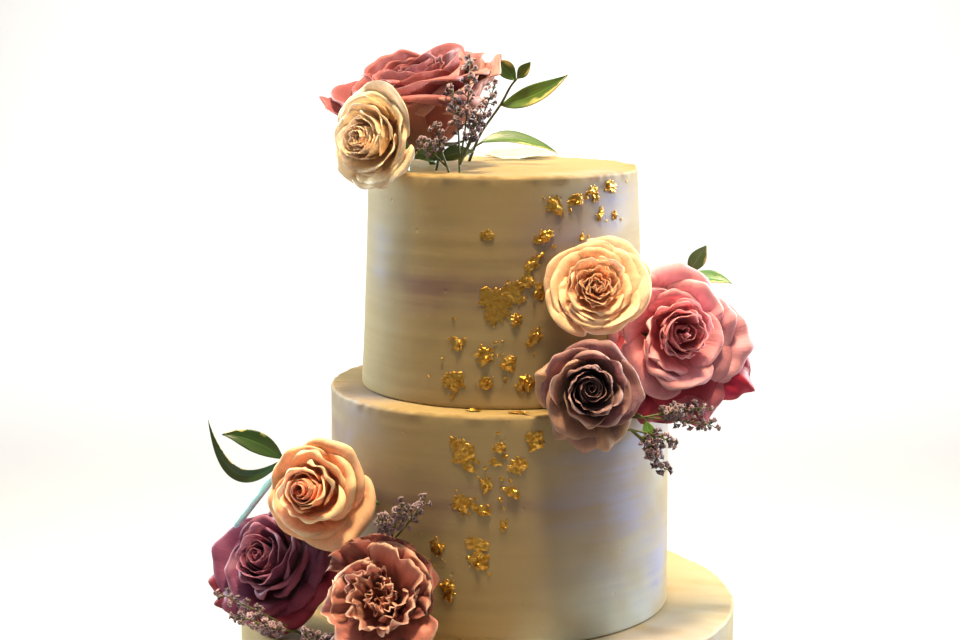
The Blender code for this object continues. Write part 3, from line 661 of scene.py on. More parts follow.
class Assembly:
    """Collects closed surfaces, in mm, and makes one mesh object of them."""

    def __init__(self):
        self.vertices, self.faces, self.uvs, self.tints, self.slots = [], [], [], [], []
        self.count = 0

    def add(self, vertices, face_arrays, uv, tint, slot=0):
        number = len(vertices)
        self.vertices.append(vertices)
        self.uvs.append(np.broadcast_to(uv, (number, 2)))
        self.tints.append(np.broadcast_to(tint, (number, 3)))
        for faces in face_arrays:
            self.faces.append(faces + self.count)
            self.slots.append(np.full(len(faces), slot, np.int32))
        self.count += number

    def sheet(self, points, thickness, tint, slot=0):
        """A closed thin sheet: a grid of points moved half a thickness both ways along its normal."""
        rows, columns = points.shape[:2]
        normal = unit(np.cross(np.gradient(points, axis=1), np.gradient(points, axis=0)))
        half = np.broadcast_to(thickness, (rows, columns))[..., None] / 2
        both = np.concatenate([points + normal * half, points - normal * half]).reshape(-1, 3)
        count = rows * columns
        number = np.arange(count).reshape(rows, columns)
        ring = np.concatenate([number[0], number[1:, -1], number[-1, -2::-1], number[-2:0:-1, 0]])
        after = np.roll(ring, -1)
        front = grid_quads(rows, columns)
        side = np.stack([ring, ring + count, after + count, after], -1)
        u, v = np.meshgrid(np.linspace(0, 1, columns), np.linspace(0, 1, rows))
        uv = np.stack([u, v], -1).reshape(-1, 2)
        tints = np.broadcast_to(tint, (rows, columns, 3)).reshape(-1, 3)
        faces = np.concatenate([front, front[:, ::-1] + count, side])
        self.add(both, [faces], np.concatenate([uv, uv]), np.concatenate([tints, tints]), slot)

    def tube(self, path, radius, sides, tint, slot=0):
        """A closed tube: circles across the path's tangent, with a fan at each end."""
        path = np.asarray(path, float)
        rows = len(path)
        tangent = unit(np.gradient(path, axis=0))
        reference = np.eye(3)[np.argmin(np.abs(tangent).mean(axis=0))]
        side = unit(np.cross(tangent, reference))
        up = np.cross(side, tangent)
        angle = np.linspace(0, TURN, sides, endpoint=False)
        thick = np.broadcast_to(radius, rows)[:, None, None]
        ring = side[:, None] * np.cos(angle)[None, :, None] + up[:, None] * np.sin(angle)[None, :, None]
        wall = path[:, None] + ring * thick
        vertices = np.concatenate([wall.reshape(-1, 3), path[:1], path[-1:]])
        v = np.concatenate([np.repeat(np.linspace(0, 1, rows), sides), [0, 1]])
        uv = np.stack([np.concatenate([np.tile(angle / TURN, rows), [0, 0]]), v], -1)
        self.add(vertices, shell_faces(rows, sides), uv, tint, slot)

    def turned(self, outline, columns, shape, uv_tint):
        """A closed surface of revolution: outline points (radius, height) from pole to pole.

        shape gives each point its place, and uv_tint gives all points their UV and tint.
        """
        outline = np.asarray(outline, float)
        radius, height = outline[1:-1, :1], outline[1:-1, 1:]
        angle = np.linspace(0, TURN, columns, endpoint=False)[None, :]
        wall = shape(*np.broadcast_arrays(radius, height, angle))
        poles = wall[[0, -1]].mean(axis=1)
        vertices = np.concatenate([wall.reshape(-1, 3), poles])
        uv, tint = uv_tint(vertices)
        self.add(vertices, shell_faces(len(radius), columns), uv, tint)

    def stamp(self, vertices, face_arrays, uv, tint, places):
        """Copies of a small mesh, one for each 4 by 4 place."""
        for place in places:
            self.add(vertices @ place[:3, :3].T + place[:3, 3], face_arrays, uv, tint)

    def build(self, name, materials):
        """Makes the object, in metres, with the UV map "surface" and the colour attribute "tint"."""
        mesh = bpy.data.meshes.new(name)
        vertices = np.concatenate(self.vertices) * MM
        corners = np.concatenate([faces.ravel() for faces in self.faces]).astype(np.int32)
        sizes = np.concatenate([np.full(len(faces), faces.shape[1]) for faces in self.faces])
        mesh.vertices.add(len(vertices))
        mesh.vertices.foreach_set("co", vertices.astype(np.float32).ravel())
        mesh.loops.add(len(corners))
        mesh.loops.foreach_set("vertex_index", corners)
        mesh.polygons.add(len(sizes))
        mesh.polygons.foreach_set("loop_start", (np.cumsum(sizes) - sizes).astype(np.int32))
        mesh.polygons.foreach_set("material_index", np.concatenate(self.slots))
        mesh.polygons.foreach_set("use_smooth", np.ones(len(sizes), bool))
        mesh.update(calc_edges=True)
        uv_layer = mesh.uv_layers.new(name="surface")
        uv_layer.data.foreach_set("uv", np.concatenate(self.uvs)[corners].astype(np.float32).ravel())
        tint = np.concatenate(self.tints)
        attribute = mesh.attributes.new("tint", "FLOAT_COLOR", "POINT")
        rgba = np.concatenate([tint, np.ones((len(tint), 1))], axis=1).astype(np.float32)
        attribute.data.foreach_set("color", rgba.ravel())
        for material in materials:
            mesh.materials.append(material)
        mesh.validate()
        obj = bpy.data.objects.new(name, mesh)
        bpy.context.scene.collection.objects.link(obj)
        return obj


def mount_piece(obj, node):
    """Puts a finished piece on the cake under the root body, in place of its CAD node, which it hides."""
    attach(obj, "root")
    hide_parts(node)


# Shader building


class Nodes:
    """Short calls for adding and joining the nodes of one tree."""

    def __init__(self, tree):
        self.tree = tree

    def add(self, kind, values=None, **settings):
        node = self.tree.nodes.new("ShaderNode" + kind)
        for key, value in settings.items():
            setattr(node, key, value)
        for key, value in (values or {}).items():
            self.put(node.inputs[key], value)
        return node

    def put(self, socket, value):
        if isinstance(value, bpy.types.NodeSocket):
            self.tree.links.new(value, socket)
        elif isinstance(value, tuple) and len(value) == 3 and socket.type == "RGBA":
            socket.default_value = (*value, 1.0)
        else:
            socket.default_value = value

    def blend(self, share, a, b, mode="MIX"):
        node = self.add("Mix", data_type="RGBA", blend_type=mode)
        self.put(node.inputs["Factor"], share)
        self.put(node.inputs[6], a)
        self.put(node.inputs[7], b)
        return node.outputs[2]

    def ramp(self, value, low, high, start=0.0, end=1.0):
        """Goes smoothly from start to end as the value goes from low to high."""
        values = {"Value": value, "From Min": low, "From Max": high, "To Min": start, "To Max": end}
        return self.add("MapRange", values, interpolation_type="SMOOTHSTEP").outputs[0]

    def maths(self, operation, a, b=0.0):
        node = self.add("Math", operation=operation)
        self.put(node.inputs[0], a)
        self.put(node.inputs[1], b)
        return node.outputs[0]

    def noise(self, vector, scale, detail=3.0, roughness=0.5, stretch=None):
        if stretch:
            vector = self.add("Mapping", {"Vector": vector, "Scale": stretch}).outputs[0]
        values = {"Vector": vector, "Scale": scale, "Detail": detail, "Roughness": roughness}
        return self.add("TexNoise", values).outputs["Fac"]

    def product(self, first, *others):
        for other in others:
            first = self.maths("MULTIPLY", first, other)
        return first

    def strengthen(self, colour, value):
        """A colour with its three channels multiplied by one value."""
        grey = self.add("CombineColor", {"Red": value, "Green": value, "Blue": value}).outputs[0]
        return self.blend(1.0, colour, grey, "MULTIPLY")

    def place(self):
        """The point on the cake, in metres."""
        return self.add("TexCoord").outputs["Object"]

    def surface(self):
        """The piece's own UV map: across and up."""
        return self.add("UVMap", uv_map="surface").outputs[0]

    def tint(self):
        """The three channels of the piece's tint attribute."""
        tint = self.add("Attribute", attribute_name="tint").outputs["Color"]
        return self.add("SeparateColor", {"Color": tint}).outputs


def scaled(colour, shares):
    return tuple(c * s for c, s in zip(colour, shares))


def paler(colour, gain, lift):
    """A colour scaled and lifted, and held to 1."""
    return tuple(min(1, c * gain + lift) for c in colour)


def new_group(name, inputs, outputs):
    """An empty shader node group with named sockets, and the sockets of its inside."""
    tree = bpy.data.node_groups.new(name, "ShaderNodeTree")
    for label, kind, value in inputs:
        socket = tree.interface.new_socket(label, in_out="INPUT", socket_type=kind)
        if value is not None:
            socket.default_value = value
    for label, kind in outputs:
        tree.interface.new_socket(label, in_out="OUTPUT", socket_type=kind)
    start = tree.nodes.new("NodeGroupInput")
    end = tree.nodes.new("NodeGroupOutput")
    return Nodes(tree), start.outputs, end.inputs


VEIN_STRETCH = 2.4
GRAIN_SCALE = 900.0
STREAK_SCALE = (7.0, 7.0, 150.0)
DENT_SCALE = 28.0
PIT_SCALE = 140.0
PIT_CLUSTER_SCALE = 55.0


def vein_group():
    """Fine veins that run from a petal's or leaf's base to its rim, as a tone round 1 and a height."""
    build, inputs, outputs = new_group(
        "Veins",
        (
            ("Surface", "NodeSocketVector", None),
            ("Count", "NodeSocketFloat", 30.0),
            ("Contrast", "NodeSocketFloat", 0.1),
        ),
        (("Tone", "NodeSocketFloat"), ("Height", "NodeSocketFloat")),
    )
    parts = build.add("SeparateXYZ", {"Vector": inputs["Surface"]}).outputs
    across = build.maths("MULTIPLY", parts[0], inputs["Count"])
    along = build.maths("MULTIPLY", parts[1], VEIN_STRETCH)
    place = build.add("CombineXYZ", {"X": across, "Y": along, "Z": parts[2]}).outputs[0]
    fine = build.noise(place, 1.0, 4.0, 0.6)
    scaled_tone = build.maths("MULTIPLY", build.maths("SUBTRACT", fine, 0.5), inputs["Contrast"])
    build.put(outputs["Tone"], build.maths("ADD", scaled_tone, 1.0))
    build.put(outputs["Height"], fine)
    return build.tree


def mottle_group():
    """Soft blotches in space that vary a colour's strength, as a tone round 1, and fine grain as a height."""
    build, inputs, outputs = new_group(
        "Mottle",
        (
            ("Place", "NodeSocketVector", None),
            ("Size", "NodeSocketFloat", 60.0),
            ("Contrast", "NodeSocketFloat", 0.2),
        ),
        (("Tone", "NodeSocketFloat"), ("Grain", "NodeSocketFloat")),
    )
    coarse = build.noise(inputs["Place"], inputs["Size"], 4.0)
    scaled_tone = build.maths("MULTIPLY", build.maths("SUBTRACT", coarse, 0.5), inputs["Contrast"])
    build.put(outputs["Tone"], build.maths("ADD", scaled_tone, 1.0))
    build.put(outputs["Grain"], build.noise(inputs["Place"], GRAIN_SCALE, 2.0))
    return build.tree


def spatula_group():
    """Marks of a scraper drawn level round the icing, and small pits where air broke through."""
    build, inputs, outputs = new_group(
        "Spatula",
        (("Place", "NodeSocketVector", None),),
        (("Height", "NodeSocketFloat"), ("Streaks", "NodeSocketFloat")),
    )
    place = inputs["Place"]
    streaks = build.noise(place, 1.0, 3.0, 0.55, stretch=STREAK_SCALE)
    soft = build.noise(place, DENT_SCALE, 4.0, 0.55)
    cells = build.add("TexVoronoi", {"Vector": place, "Scale": PIT_SCALE}).outputs["Distance"]
    chosen = build.noise(place, PIT_CLUSTER_SCALE, 1.0)
    pits = build.product(build.ramp(cells, 0.05, 0.22, 1.0, 0.0), build.ramp(chosen, 0.60, 0.68))
    height = build.maths("ADD", build.product(streaks, 0.3), build.product(soft, 0.9))
    build.put(outputs["Height"], build.maths("SUBTRACT", height, build.product(pits, 0.5)))
    build.put(outputs["Streaks"], streaks)
    return build.tree


MAKERS = {"Veins": vein_group, "Mottle": mottle_group, "Spatula": spatula_group}
GROUPS = {}


def group(build, name, values):
    """Places one of the shared groups in a material, made at its first use, and gives its outputs."""
    if name not in GROUPS:
        GROUPS[name] = MAKERS[name]()
    return build.add("Group", values, node_tree=GROUPS[name]).outputs


def new_material(name, values):
    """A material with its Principled shader's plain values set, and the calls that add its nodes."""
    material = bpy.data.materials.new(name)
    material.use_nodes = True
    shader = material.node_tree.nodes["Principled BSDF"]
    build = Nodes(material.node_tree)
    for key, value in values.items():
        build.put(shader.inputs[key], value)
    return material, build, shader


def put_bump(build, shader, height, strength, distance):
    bump = build.add("Bump", {"Height": height, "Strength": strength, "Distance": distance})
    build.put(shader.inputs["Normal"], bump.outputs[0])


SCRAPED = (0.96, 0.94, 0.89)  # share of the cream's channels that the scraper's marks keep
PAINTED_WARM_TOPS = (0.80, 0.73, 0.58)  # share that the flat tops keep: painted warm top light, darker and yellower
PAINTED_WARM_TOPS_HEIGHTS = (0.984, 0.998)  # shares of a tier's height between which the painted warm top light begins
GOLD_FOLDS = (0.60, 0.48, 0.32)
LEAF_SHADE = (0.6, 0.6, 0.6)
LEAF_MARGIN = (0.62, 0.56, 0.20)
CALYX_GREEN = (0.07, 0.15, 0.03)
STEM_DARK = (0.045, 0.06, 0.018)
STEM_LIGHT = (0.14, 0.15, 0.04)
STATICE_FOOT = (0.12, 0.09, 0.06)
PETAL_BASE_SHADE = (0.85, 0.85, 0.85)


def buttercream(settings):
    """Ivory icing: umber and lavender washes and pale painted side light from the tint attribute, broken by
    streaks and blotches.

    The flat tops, where the UV map's height is near 1, are painted darker and a deeper yellow as painted warm
    top light.
    """
    material, build, shader = new_material("Buttercream", {
        "Subsurface Weight": 0.25,
        "Subsurface Radius": (0.006, 0.004, 0.002),
        "Subsurface Scale": 0.6,
        "Specular IOR Level": 0.14,
    })
    place = build.place()
    marks = group(build, "Spatula", {"Place": place})
    blotch = group(build, "Mottle", {"Place": place, "Size": 26.0, "Contrast": 1.3})
    lavender, umber, pale = build.tint()
    streak = build.ramp(marks["Streaks"], 0.3, 0.7, 0.55, 1.25)
    lavender = build.product(lavender, blotch["Tone"], streak)
    umber = build.product(umber, blotch["Tone"], streak)
    cream = tuple(settings.cream)
    colour = build.blend(build.ramp(marks["Streaks"], 0.35, 0.75), cream, scaled(cream, SCRAPED))
    height = build.add("SeparateXYZ", {"Vector": build.surface()}).outputs[1]
    # Painted warm top light: the flat tops are painted darker and a deeper yellow.
    colour = build.blend(build.ramp(height, *PAINTED_WARM_TOPS_HEIGHTS), colour, scaled(cream, PAINTED_WARM_TOPS))
    colour = build.blend(build.maths("MINIMUM", umber, 1.0), colour, tuple(settings.umber))
    # Painted cool side light: pale patches on the right of the tiers.
    colour = build.blend(build.product(pale, blotch["Tone"]), colour, tuple(settings.pale))
    colour = build.blend(build.maths("MINIMUM", lavender, 1.0), colour, tuple(settings.lavender))
    build.put(shader.inputs["Base Color"], colour)
    build.put(shader.inputs["Roughness"], build.ramp(marks["Streaks"], 0.2, 0.8, 0.46, 0.62))
    put_bump(build, shader, marks["Height"], 0.5, 0.0007)
    return material


def gold_leaf(settings):
    """Metal that is deeper and rougher in blotches."""
    material, build, shader = new_material("Gold leaf", {"Metallic": 1.0})
    blotch = group(build, "Mottle", {"Place": build.place(), "Size": 420.0, "Contrast": 0.5})
    gold = tuple(settings.gold)
    colour = build.blend(build.ramp(blotch["Tone"], 0.92, 1.08), scaled(gold, GOLD_FOLDS), gold)
    build.put(shader.inputs["Base Color"], colour)
    build.put(shader.inputs["Roughness"], build.ramp(blotch["Tone"], 0.9, 1.1, 0.50, 0.30))
    put_bump(build, shader, blotch["Tone"], 0.5, 0.0006)
    return material


def petal_material(name, colour, heart, base, rim, guard):
    """Petal colour by layer, with its base, its rim, each petal's own shade and fine veins.

    The tint attribute holds the layer, the petal's own shade and how far it takes the guard colour, which is
    painted shade on the mauve rose and the lisianthus.
    """
    material, build, shader = new_material(name, {
        "Roughness": 0.52,
        "Subsurface Weight": 0.2,
        "Subsurface Radius": (0.006, 0.003, 0.003),
        "Subsurface Scale": 0.8,
        "Sheen Weight": 0.1,
        "Sheen Roughness": 0.5,
        "Specular IOR Level": 0.3,
    })
    surface = build.surface()
    layer, own, red = build.tint()
    along = build.add("SeparateXYZ", {"Vector": surface}).outputs[1]
    veins = group(build, "Veins", {"Surface": surface, "Count": 26.0, "Contrast": 0.3})
    blotch = group(build, "Mottle", {"Place": build.place(), "Size": 110.0, "Contrast": 0.6})
    shade = build.blend(build.ramp(layer, 0.0, 0.75), heart, colour)
    shade = build.blend(build.ramp(along, 0.0, 0.62, 0.95, 0.0), shade, base)
    edge = build.product(build.ramp(along, 0.72, 1.0), blotch["Tone"], build.ramp(layer, 0.0, 0.6, 0.4, 0.75))
    shade = build.blend(edge, shade, rim)
    # The guard colour: a blush on some flowers, painted shade on the mauve rose and the lisianthus.
    shade = build.blend(red, shade, guard)
    own = build.product(build.ramp(own, 0.0, 1.0, 0.84, 1.12), veins["Tone"], blotch["Tone"])
    build.put(shader.inputs["Base Color"], build.strengthen(shade, own))
    put_bump(build, shader, veins["Height"], 0.4, 0.0012)
    return material


def leaf_material(name, colour, margin):
    """Green with a pale midrib and, where the leaf has one, a creamy margin that wanders inwards."""
    material, build, shader = new_material(name, {
        "Roughness": 0.36,
        "Subsurface Weight": 0.12,
        "Subsurface Radius": (0.002, 0.003, 0.001),
        "Coat Weight": 0.15,
        "Coat Roughness": 0.3,
    })
    surface = build.surface()
    across, along, _ = build.add("SeparateXYZ", {"Vector": surface}).outputs
    veins = group(build, "Veins", {"Surface": surface, "Count": 16.0, "Contrast": 0.7})
    blotch = group(build, "Mottle", {"Place": build.place(), "Size": 170.0, "Contrast": 0.8})
    side = build.maths("ABSOLUTE", build.maths("SUBTRACT", across, 0.5))
    shade = build.blend(build.ramp(veins["Tone"], 0.8, 1.2), scaled(colour, LEAF_SHADE), colour)
    shade = build.blend(build.ramp(side, 0.0, 0.035, 0.6, 0.0), shade, paler(colour, 2.2, 0.05))
    if margin:
        low = build.product(build.maths("SUBTRACT", 1.0, across), blotch["Tone"])
        spread = build.ramp(low, 1.0 - margin * 0.55, 1.0 - margin * 0.3)
        shade = build.blend(build.product(spread, build.ramp(along, 0.25, 0.6)), shade, LEAF_MARGIN)
    build.put(shader.inputs["Base Color"], shade)
    put_bump(build, shader, veins["Height"], 0.35, 0.0005)
    return material


def stem_material():
    material, build, shader = new_material("Stem green", {"Roughness": 0.5})
    blotch = group(build, "Mottle", {"Place": build.place(), "Size": 300.0, "Contrast": 1.0})
    shade = build.blend(build.ramp(blotch["Tone"], 0.8, 1.2), STEM_DARK, STEM_LIGHT)
    build.put(shader.inputs["Base Color"], shade)
    put_bump(build, shader, blotch["Grain"], 0.3, 0.0002)
    return material


def floret_material(settings):
    """Papery flowers: brown-green at the foot, lavender along the cup and nearly white at the rim.

    The tint attribute holds the way from foot to rim and the flower's own shade.
    """
    material, build, shader = new_material("Statice", {
        "Roughness": 0.75,
        "Subsurface Weight": 0.15,
        "Subsurface Radius": (0.002, 0.001, 0.002),
        "Sheen Weight": 0.2,
    })
    rise, own, _ = build.tint()
    veins = group(build, "Veins", {"Surface": build.surface(), "Count": 18.0, "Contrast": 0.6})
    lavender = tuple(settings.statice)
    shade = build.blend(build.ramp(rise, 0.15, 0.6), STATICE_FOOT, lavender)
    shade = build.blend(build.ramp(rise, 0.7, 1.0), shade, paler(lavender, 0.8, 0.22))
    own = build.product(build.ramp(own, 0.0, 1.0, 0.30, 1.2), veins["Tone"])
    build.put(shader.inputs["Base Color"], build.strengthen(shade, own))
    put_bump(build, shader, veins["Height"], 0.3, 0.0002)
    return material


def plastic_material(settings):
    """Pale-blue plastic with a soft gloss, clouded in blotches."""
    material, build, shader = new_material("Pale plastic", {"Coat Weight": 0.4, "Subsurface Weight": 0.2})
    blotch = group(build, "Mottle", {"Place": build.place(), "Size": 90.0, "Contrast": 0.5})
    blue = tuple(settings.pick)
    colour = build.blend(build.ramp(blotch["Tone"], 0.9, 1.1), blue, paler(blue, 1.2, 0.1))
    build.put(shader.inputs["Base Color"], colour)
    build.put(shader.inputs["Roughness"], build.ramp(blotch["Tone"], 0.8, 1.2, 0.22, 0.36))
    return material


# Shapes


def wall_relief(tier, angle, height):
    """How far a tier's wall stands out in mm: long ripples, and level lines as a scraper leaves them."""
    draw = np.random.default_rng(int(tier.height + tier.foot_radius))
    x, y = np.cos(angle) * tier.top_radius, np.sin(angle) * tier.top_radius
    swell = waves(draw, WALL_SWELL, x, y, height)
    return swell + waves(draw, SCRAPER_LINES, height + 0 * angle + 1.2 * np.sin(angle * 2))


def tier_outline(tier):
    """Points (radius, height) of the flat top, quarter-round rim, straight wall and quarter-round foot."""
    top, foot = tier.top_radius, tier.foot_radius
    quarter = math.pi / 2
    points = [(0.0, tier.height)]
    points += [(share * (top - RIM_RADIUS), tier.height) for share in np.linspace(0.02, 1.0, TOP_ROWS)]
    for angle in np.linspace(0, quarter, RIM_ROWS)[1:]:
        rise = RIM_RADIUS * (1 - math.cos(angle))
        points.append((top - RIM_RADIUS * (1 - math.sin(angle)), tier.height - rise))
    for share in np.linspace(0, 1, WALL_ROWS)[1:-1]:
        points.append((mix(top, foot, share), mix(tier.height - RIM_RADIUS, FOOT_RADIUS, share)))
    for angle in np.linspace(0, quarter, FOOT_ROWS):
        points.append((foot - FOOT_RADIUS * (1 - math.cos(angle)), FOOT_RADIUS * (1 - math.sin(angle))))
    points += [(foot * share, 0.0) for share in UNDERSIDE_ROWS]
    return points + [(0.0, 0.0)]


def tier_mesh(tier, relief):
    """The outline turned round the tier's axis.

    Sine waves move the wall and its lip in and out, and the flat top and its edge up and down. The tint
    attribute holds the strength of the lavender and umber washes and of the pale painted side light: soft
    ellipses with wandering edges.
    """
    draw = np.random.default_rng(int(tier.height))

    def place(radius, height, angle):
        out = smooth(radius, tier.top_radius * 0.8, tier.top_radius - 1) * smooth(height, 0.5, 6.0)
        x, y = np.cos(angle) * tier.top_radius, np.sin(angle) * tier.top_radius
        lip = smooth(height, tier.height - 6, tier.height - 0.5) * relief
        lip = lip * (waves(draw, LIP_SWELL, x, y) + waves(draw, LIP_TEETH, x, y))
        grown = radius + out * (wall_relief(tier, angle, height) * relief + lip)
        on_top = smooth(height, tier.height - 1.5, tier.height) * relief
        rise = on_top * waves(draw, TOP_SWELL, np.cos(angle) * radius, np.sin(angle) * radius)
        edge = on_top * smooth(radius, tier.top_radius - 9, tier.top_radius - 3)
        rise = rise + edge * waves(draw, TOP_EDGE_SWELL, x, y) + edge * waves(draw, TOP_EDGE_TEETH, x, y)
        x, y = tier.centre_x + grown * np.cos(angle), grown * np.sin(angle)
        return np.stack([x, y, tier.base + height + rise], -1)

    def colours(vertices):
        around = np.degrees(np.arctan2(vertices[:, 0] - tier.centre_x, -vertices[:, 1]))
        up = vertices[:, 2] - tier.base
        wander = waves(draw, PATCH_WANDER, *vertices.T)
        masks = []
        for patches in (LAVENDER[tier.node], UMBER[tier.node], PAINTED_SIDE_LIGHT[tier.node]):
            mask = np.zeros(len(vertices))
            for patch in patches:
                turn = (around - patch.azimuth + 180) % 360 - 180
                far = (turn / patch.wide) ** 2 + ((up - patch.up + 3 * wander) / patch.high) ** 2
                mask = np.maximum(mask, patch.strength * np.exp(-far) * (1 + 0.25 * wander))
            masks.append(mask)
        on_wall = np.hypot(vertices[:, 0] - tier.centre_x, vertices[:, 1]) > tier.top_radius * 0.75
        uv = np.stack([around / 360 + 0.5, up / tier.height], -1)
        return uv, np.stack(masks, -1) * on_wall[:, None]

    assembly = Assembly()
    assembly.turned(tier_outline(tier), TIER_COLUMNS, place, colours)
    return assembly


def crumpled_disc(draw, flake, steps):
    """A ragged disc with sharp creases: across, up and out in mm.

    The square grid is bent to a disc, its outline wanders, and its height is a sum of folded sine waves.
    """
    u, v = np.meshgrid(np.linspace(-1, 1, steps), np.linspace(-1, 1, steps))
    x, y = u * np.sqrt(1 - v * v / 2), v * np.sqrt(1 - u * u / 2)
    away, angle = np.hypot(x, y), np.arctan2(y, x)
    circle = np.cos(angle), np.sin(angle)
    ragged = 1 + waves(draw, RAGGED_RIM, *circle) + away * waves(draw, FRAYED_RIM, *circle)
    x, y = x * ragged * flake.wide / 2, y * ragged * flake.high / 2
    folds = 0.0
    for _ in range(FOLDS):
        direction = draw.uniform(0, TURN)
        length = draw.uniform(*FOLD_LENGTHS)
        along = (x * math.cos(direction) + y * math.sin(direction)) * math.pi / length
        folds = folds + (1 - 2 * np.abs(np.sin(along + draw.uniform(0, TURN)))) * draw.uniform(*FOLD_DEPTHS)
    height = flake.crumple * (0.9 + 0.7 * folds) * (0.35 + 0.65 * smooth(1 - away, 0.0, 0.5))
    height = np.maximum(height, 0.06) + FLAKE_GAP
    x = x + flake.crumple * waves(draw, FLAKE_CREEP, x, y)
    y = y + flake.crumple * waves(draw, FLAKE_CREEP, x, y)
    turned = math.radians(flake.turned)
    return x * math.cos(turned) - y * math.sin(turned), x * math.sin(turned) + y * math.cos(turned), height


def flake_on_wall(draw, flake, tier, steps):
    """A crumpled disc bent round a tier's wall, on the icing's own relief."""
    x, y, height = crumpled_disc(draw, flake, steps)
    up = np.clip(flake.up + y, 2, tier.height - 1)
    wall = mix(tier.foot_radius, tier.top_radius, up / tier.height)
    around = math.radians(flake.azimuth) + x / wall
    out = wall + height + wall_relief(tier, around - math.pi / 2, up)
    return np.stack([tier.centre_x + out * np.sin(around), -out * np.cos(around), tier.base + up], -1)


def second_layer(draw, flake):
    """A smaller and more crumpled piece that lies across a flake."""
    return flake._replace(
        wide=flake.wide * SECOND_LAYER_SIZE,
        high=flake.high * SECOND_LAYER_SIZE,
        azimuth=flake.azimuth + draw.uniform(-1, 1) * flake.wide * 0.18,
        up=flake.up + draw.uniform(-0.3, 0.3) * flake.high,
        turned=draw.uniform(0, 180),
        crumple=flake.crumple * SECOND_LAYER_CRUMPLE,
    )


def crumb_near(draw, flake):
    """A speck of gold that fell off a flake."""
    size = draw.uniform(*CRUMB_WIDTHS)
    return Flake(
        azimuth=flake.azimuth + draw.normal() * flake.wide * 0.55,
        up=flake.up + draw.normal() * flake.high * 0.7,
        wide=size,
        high=size * draw.uniform(0.5, 1.4),
        turned=draw.uniform(0, 180),
        crumple=CRUMB_CRUMPLE,
    )


def gold_mesh(tier, crumple):
    """Each of a tier's flakes with a second layer and one to four crumbs, and the two flakes on the ledge."""
    draw = np.random.default_rng(FLAKE_SEED + len(tier.node))
    assembly = Assembly()
    for flake in FLAKES[tier.node]:
        flake = flake._replace(crumple=flake.crumple * crumple)
        steps = LARGE_FLAKE_STEPS if flake.wide + flake.high > LARGE_FLAKE else FLAKE_STEPS
        assembly.sheet(flake_on_wall(draw, flake, tier, steps), FLAKE_THICKNESS, NO_TINT)
        second = flake_on_wall(draw, second_layer(draw, flake), tier, SECOND_LAYER_STEPS)
        assembly.sheet(second, FLAKE_THICKNESS, NO_TINT)
        for _ in range(int(draw.integers(1, 5))):
            crumb = flake_on_wall(draw, crumb_near(draw, flake), tier, CRUMB_STEPS)
            assembly.sheet(crumb, CRUMB_THICKNESS, NO_TINT)
    if tier.node == "tier_middle":
        for x, y, wide, high, turned in LEDGE_FLAKES:
            across, back, height = crumpled_disc(draw, Flake(0, 0, wide, high, turned, crumple), FLAKE_STEPS)
            points = np.stack([x + across, y + back, LEDGE_TOP + LEDGE_GAP + height], -1)
            assembly.sheet(points, FLAKE_THICKNESS, NO_TINT)
    return assembly


def petal_controls(habit, layer, leaning, loose, uneven):
    """Four control points (radius, height) of a petal's middle line, from its base to its rim.

    They move out and down from the heart (layer 0) to the outermost petal (layer 1).
    """
    radius, height = habit.radius, habit.height
    arch = math.sin(layer * math.pi * 0.8)
    rim_height = habit.heart + (0.1 - habit.bud * 0.3) * arch - habit.droop * leaning
    rim_height += habit.bud * (1 - layer) ** 2
    rim_height -= habit.hollow * (1 - float(smooth(layer, 0.0, 0.3)))
    floor = height * habit.fill * (1 - layer) ** 1.3
    base = (radius * 0.03, floor)
    belly = (radius * (0.10 + 0.50 * layer), floor + height * (0.10 - 0.02 * layer))
    shoulder = (
        radius * (0.07 + 0.60 * layer + 0.10 * leaning),
        height * (0.55 + 0.10 * leaning) + 0.4 * floor,
    )
    rim = (
        radius * (0.05 + 0.62 * layer + 0.33 * leaning) * (1 + 0.22 * loose * uneven[0]),
        height * rim_height * (1 + 0.30 * loose * uneven[1]),
    )
    return base, belly, shoulder, rim


def petal_lift(habit, layer, u, v, wave, fold, ruffle, creases):
    """How far a petal's grid moves along its normal: long waves, short ruffles, creases and a midrib."""
    frill = habit.frill * (0.25 + layer) + habit.fold * (1 - layer) ** 2
    lift = frill * smooth(v, 0.25, 1.0) * wave + 0.4 * frill * smooth(v, 0.5, 1.0) * fold
    lift = lift + habit.edge * (0.3 + 0.7 * layer) * smooth(v, 0.55, 1.0) ** 1.5 * ruffle
    lift = lift + habit.crinkle * (0.3 + 0.7 * layer) * smooth(v, 0.15, 0.6) * creases
    return lift - habit.crease * layer * np.exp(-((u / 0.18) ** 2)) * smooth(v, 0.2, 0.9)


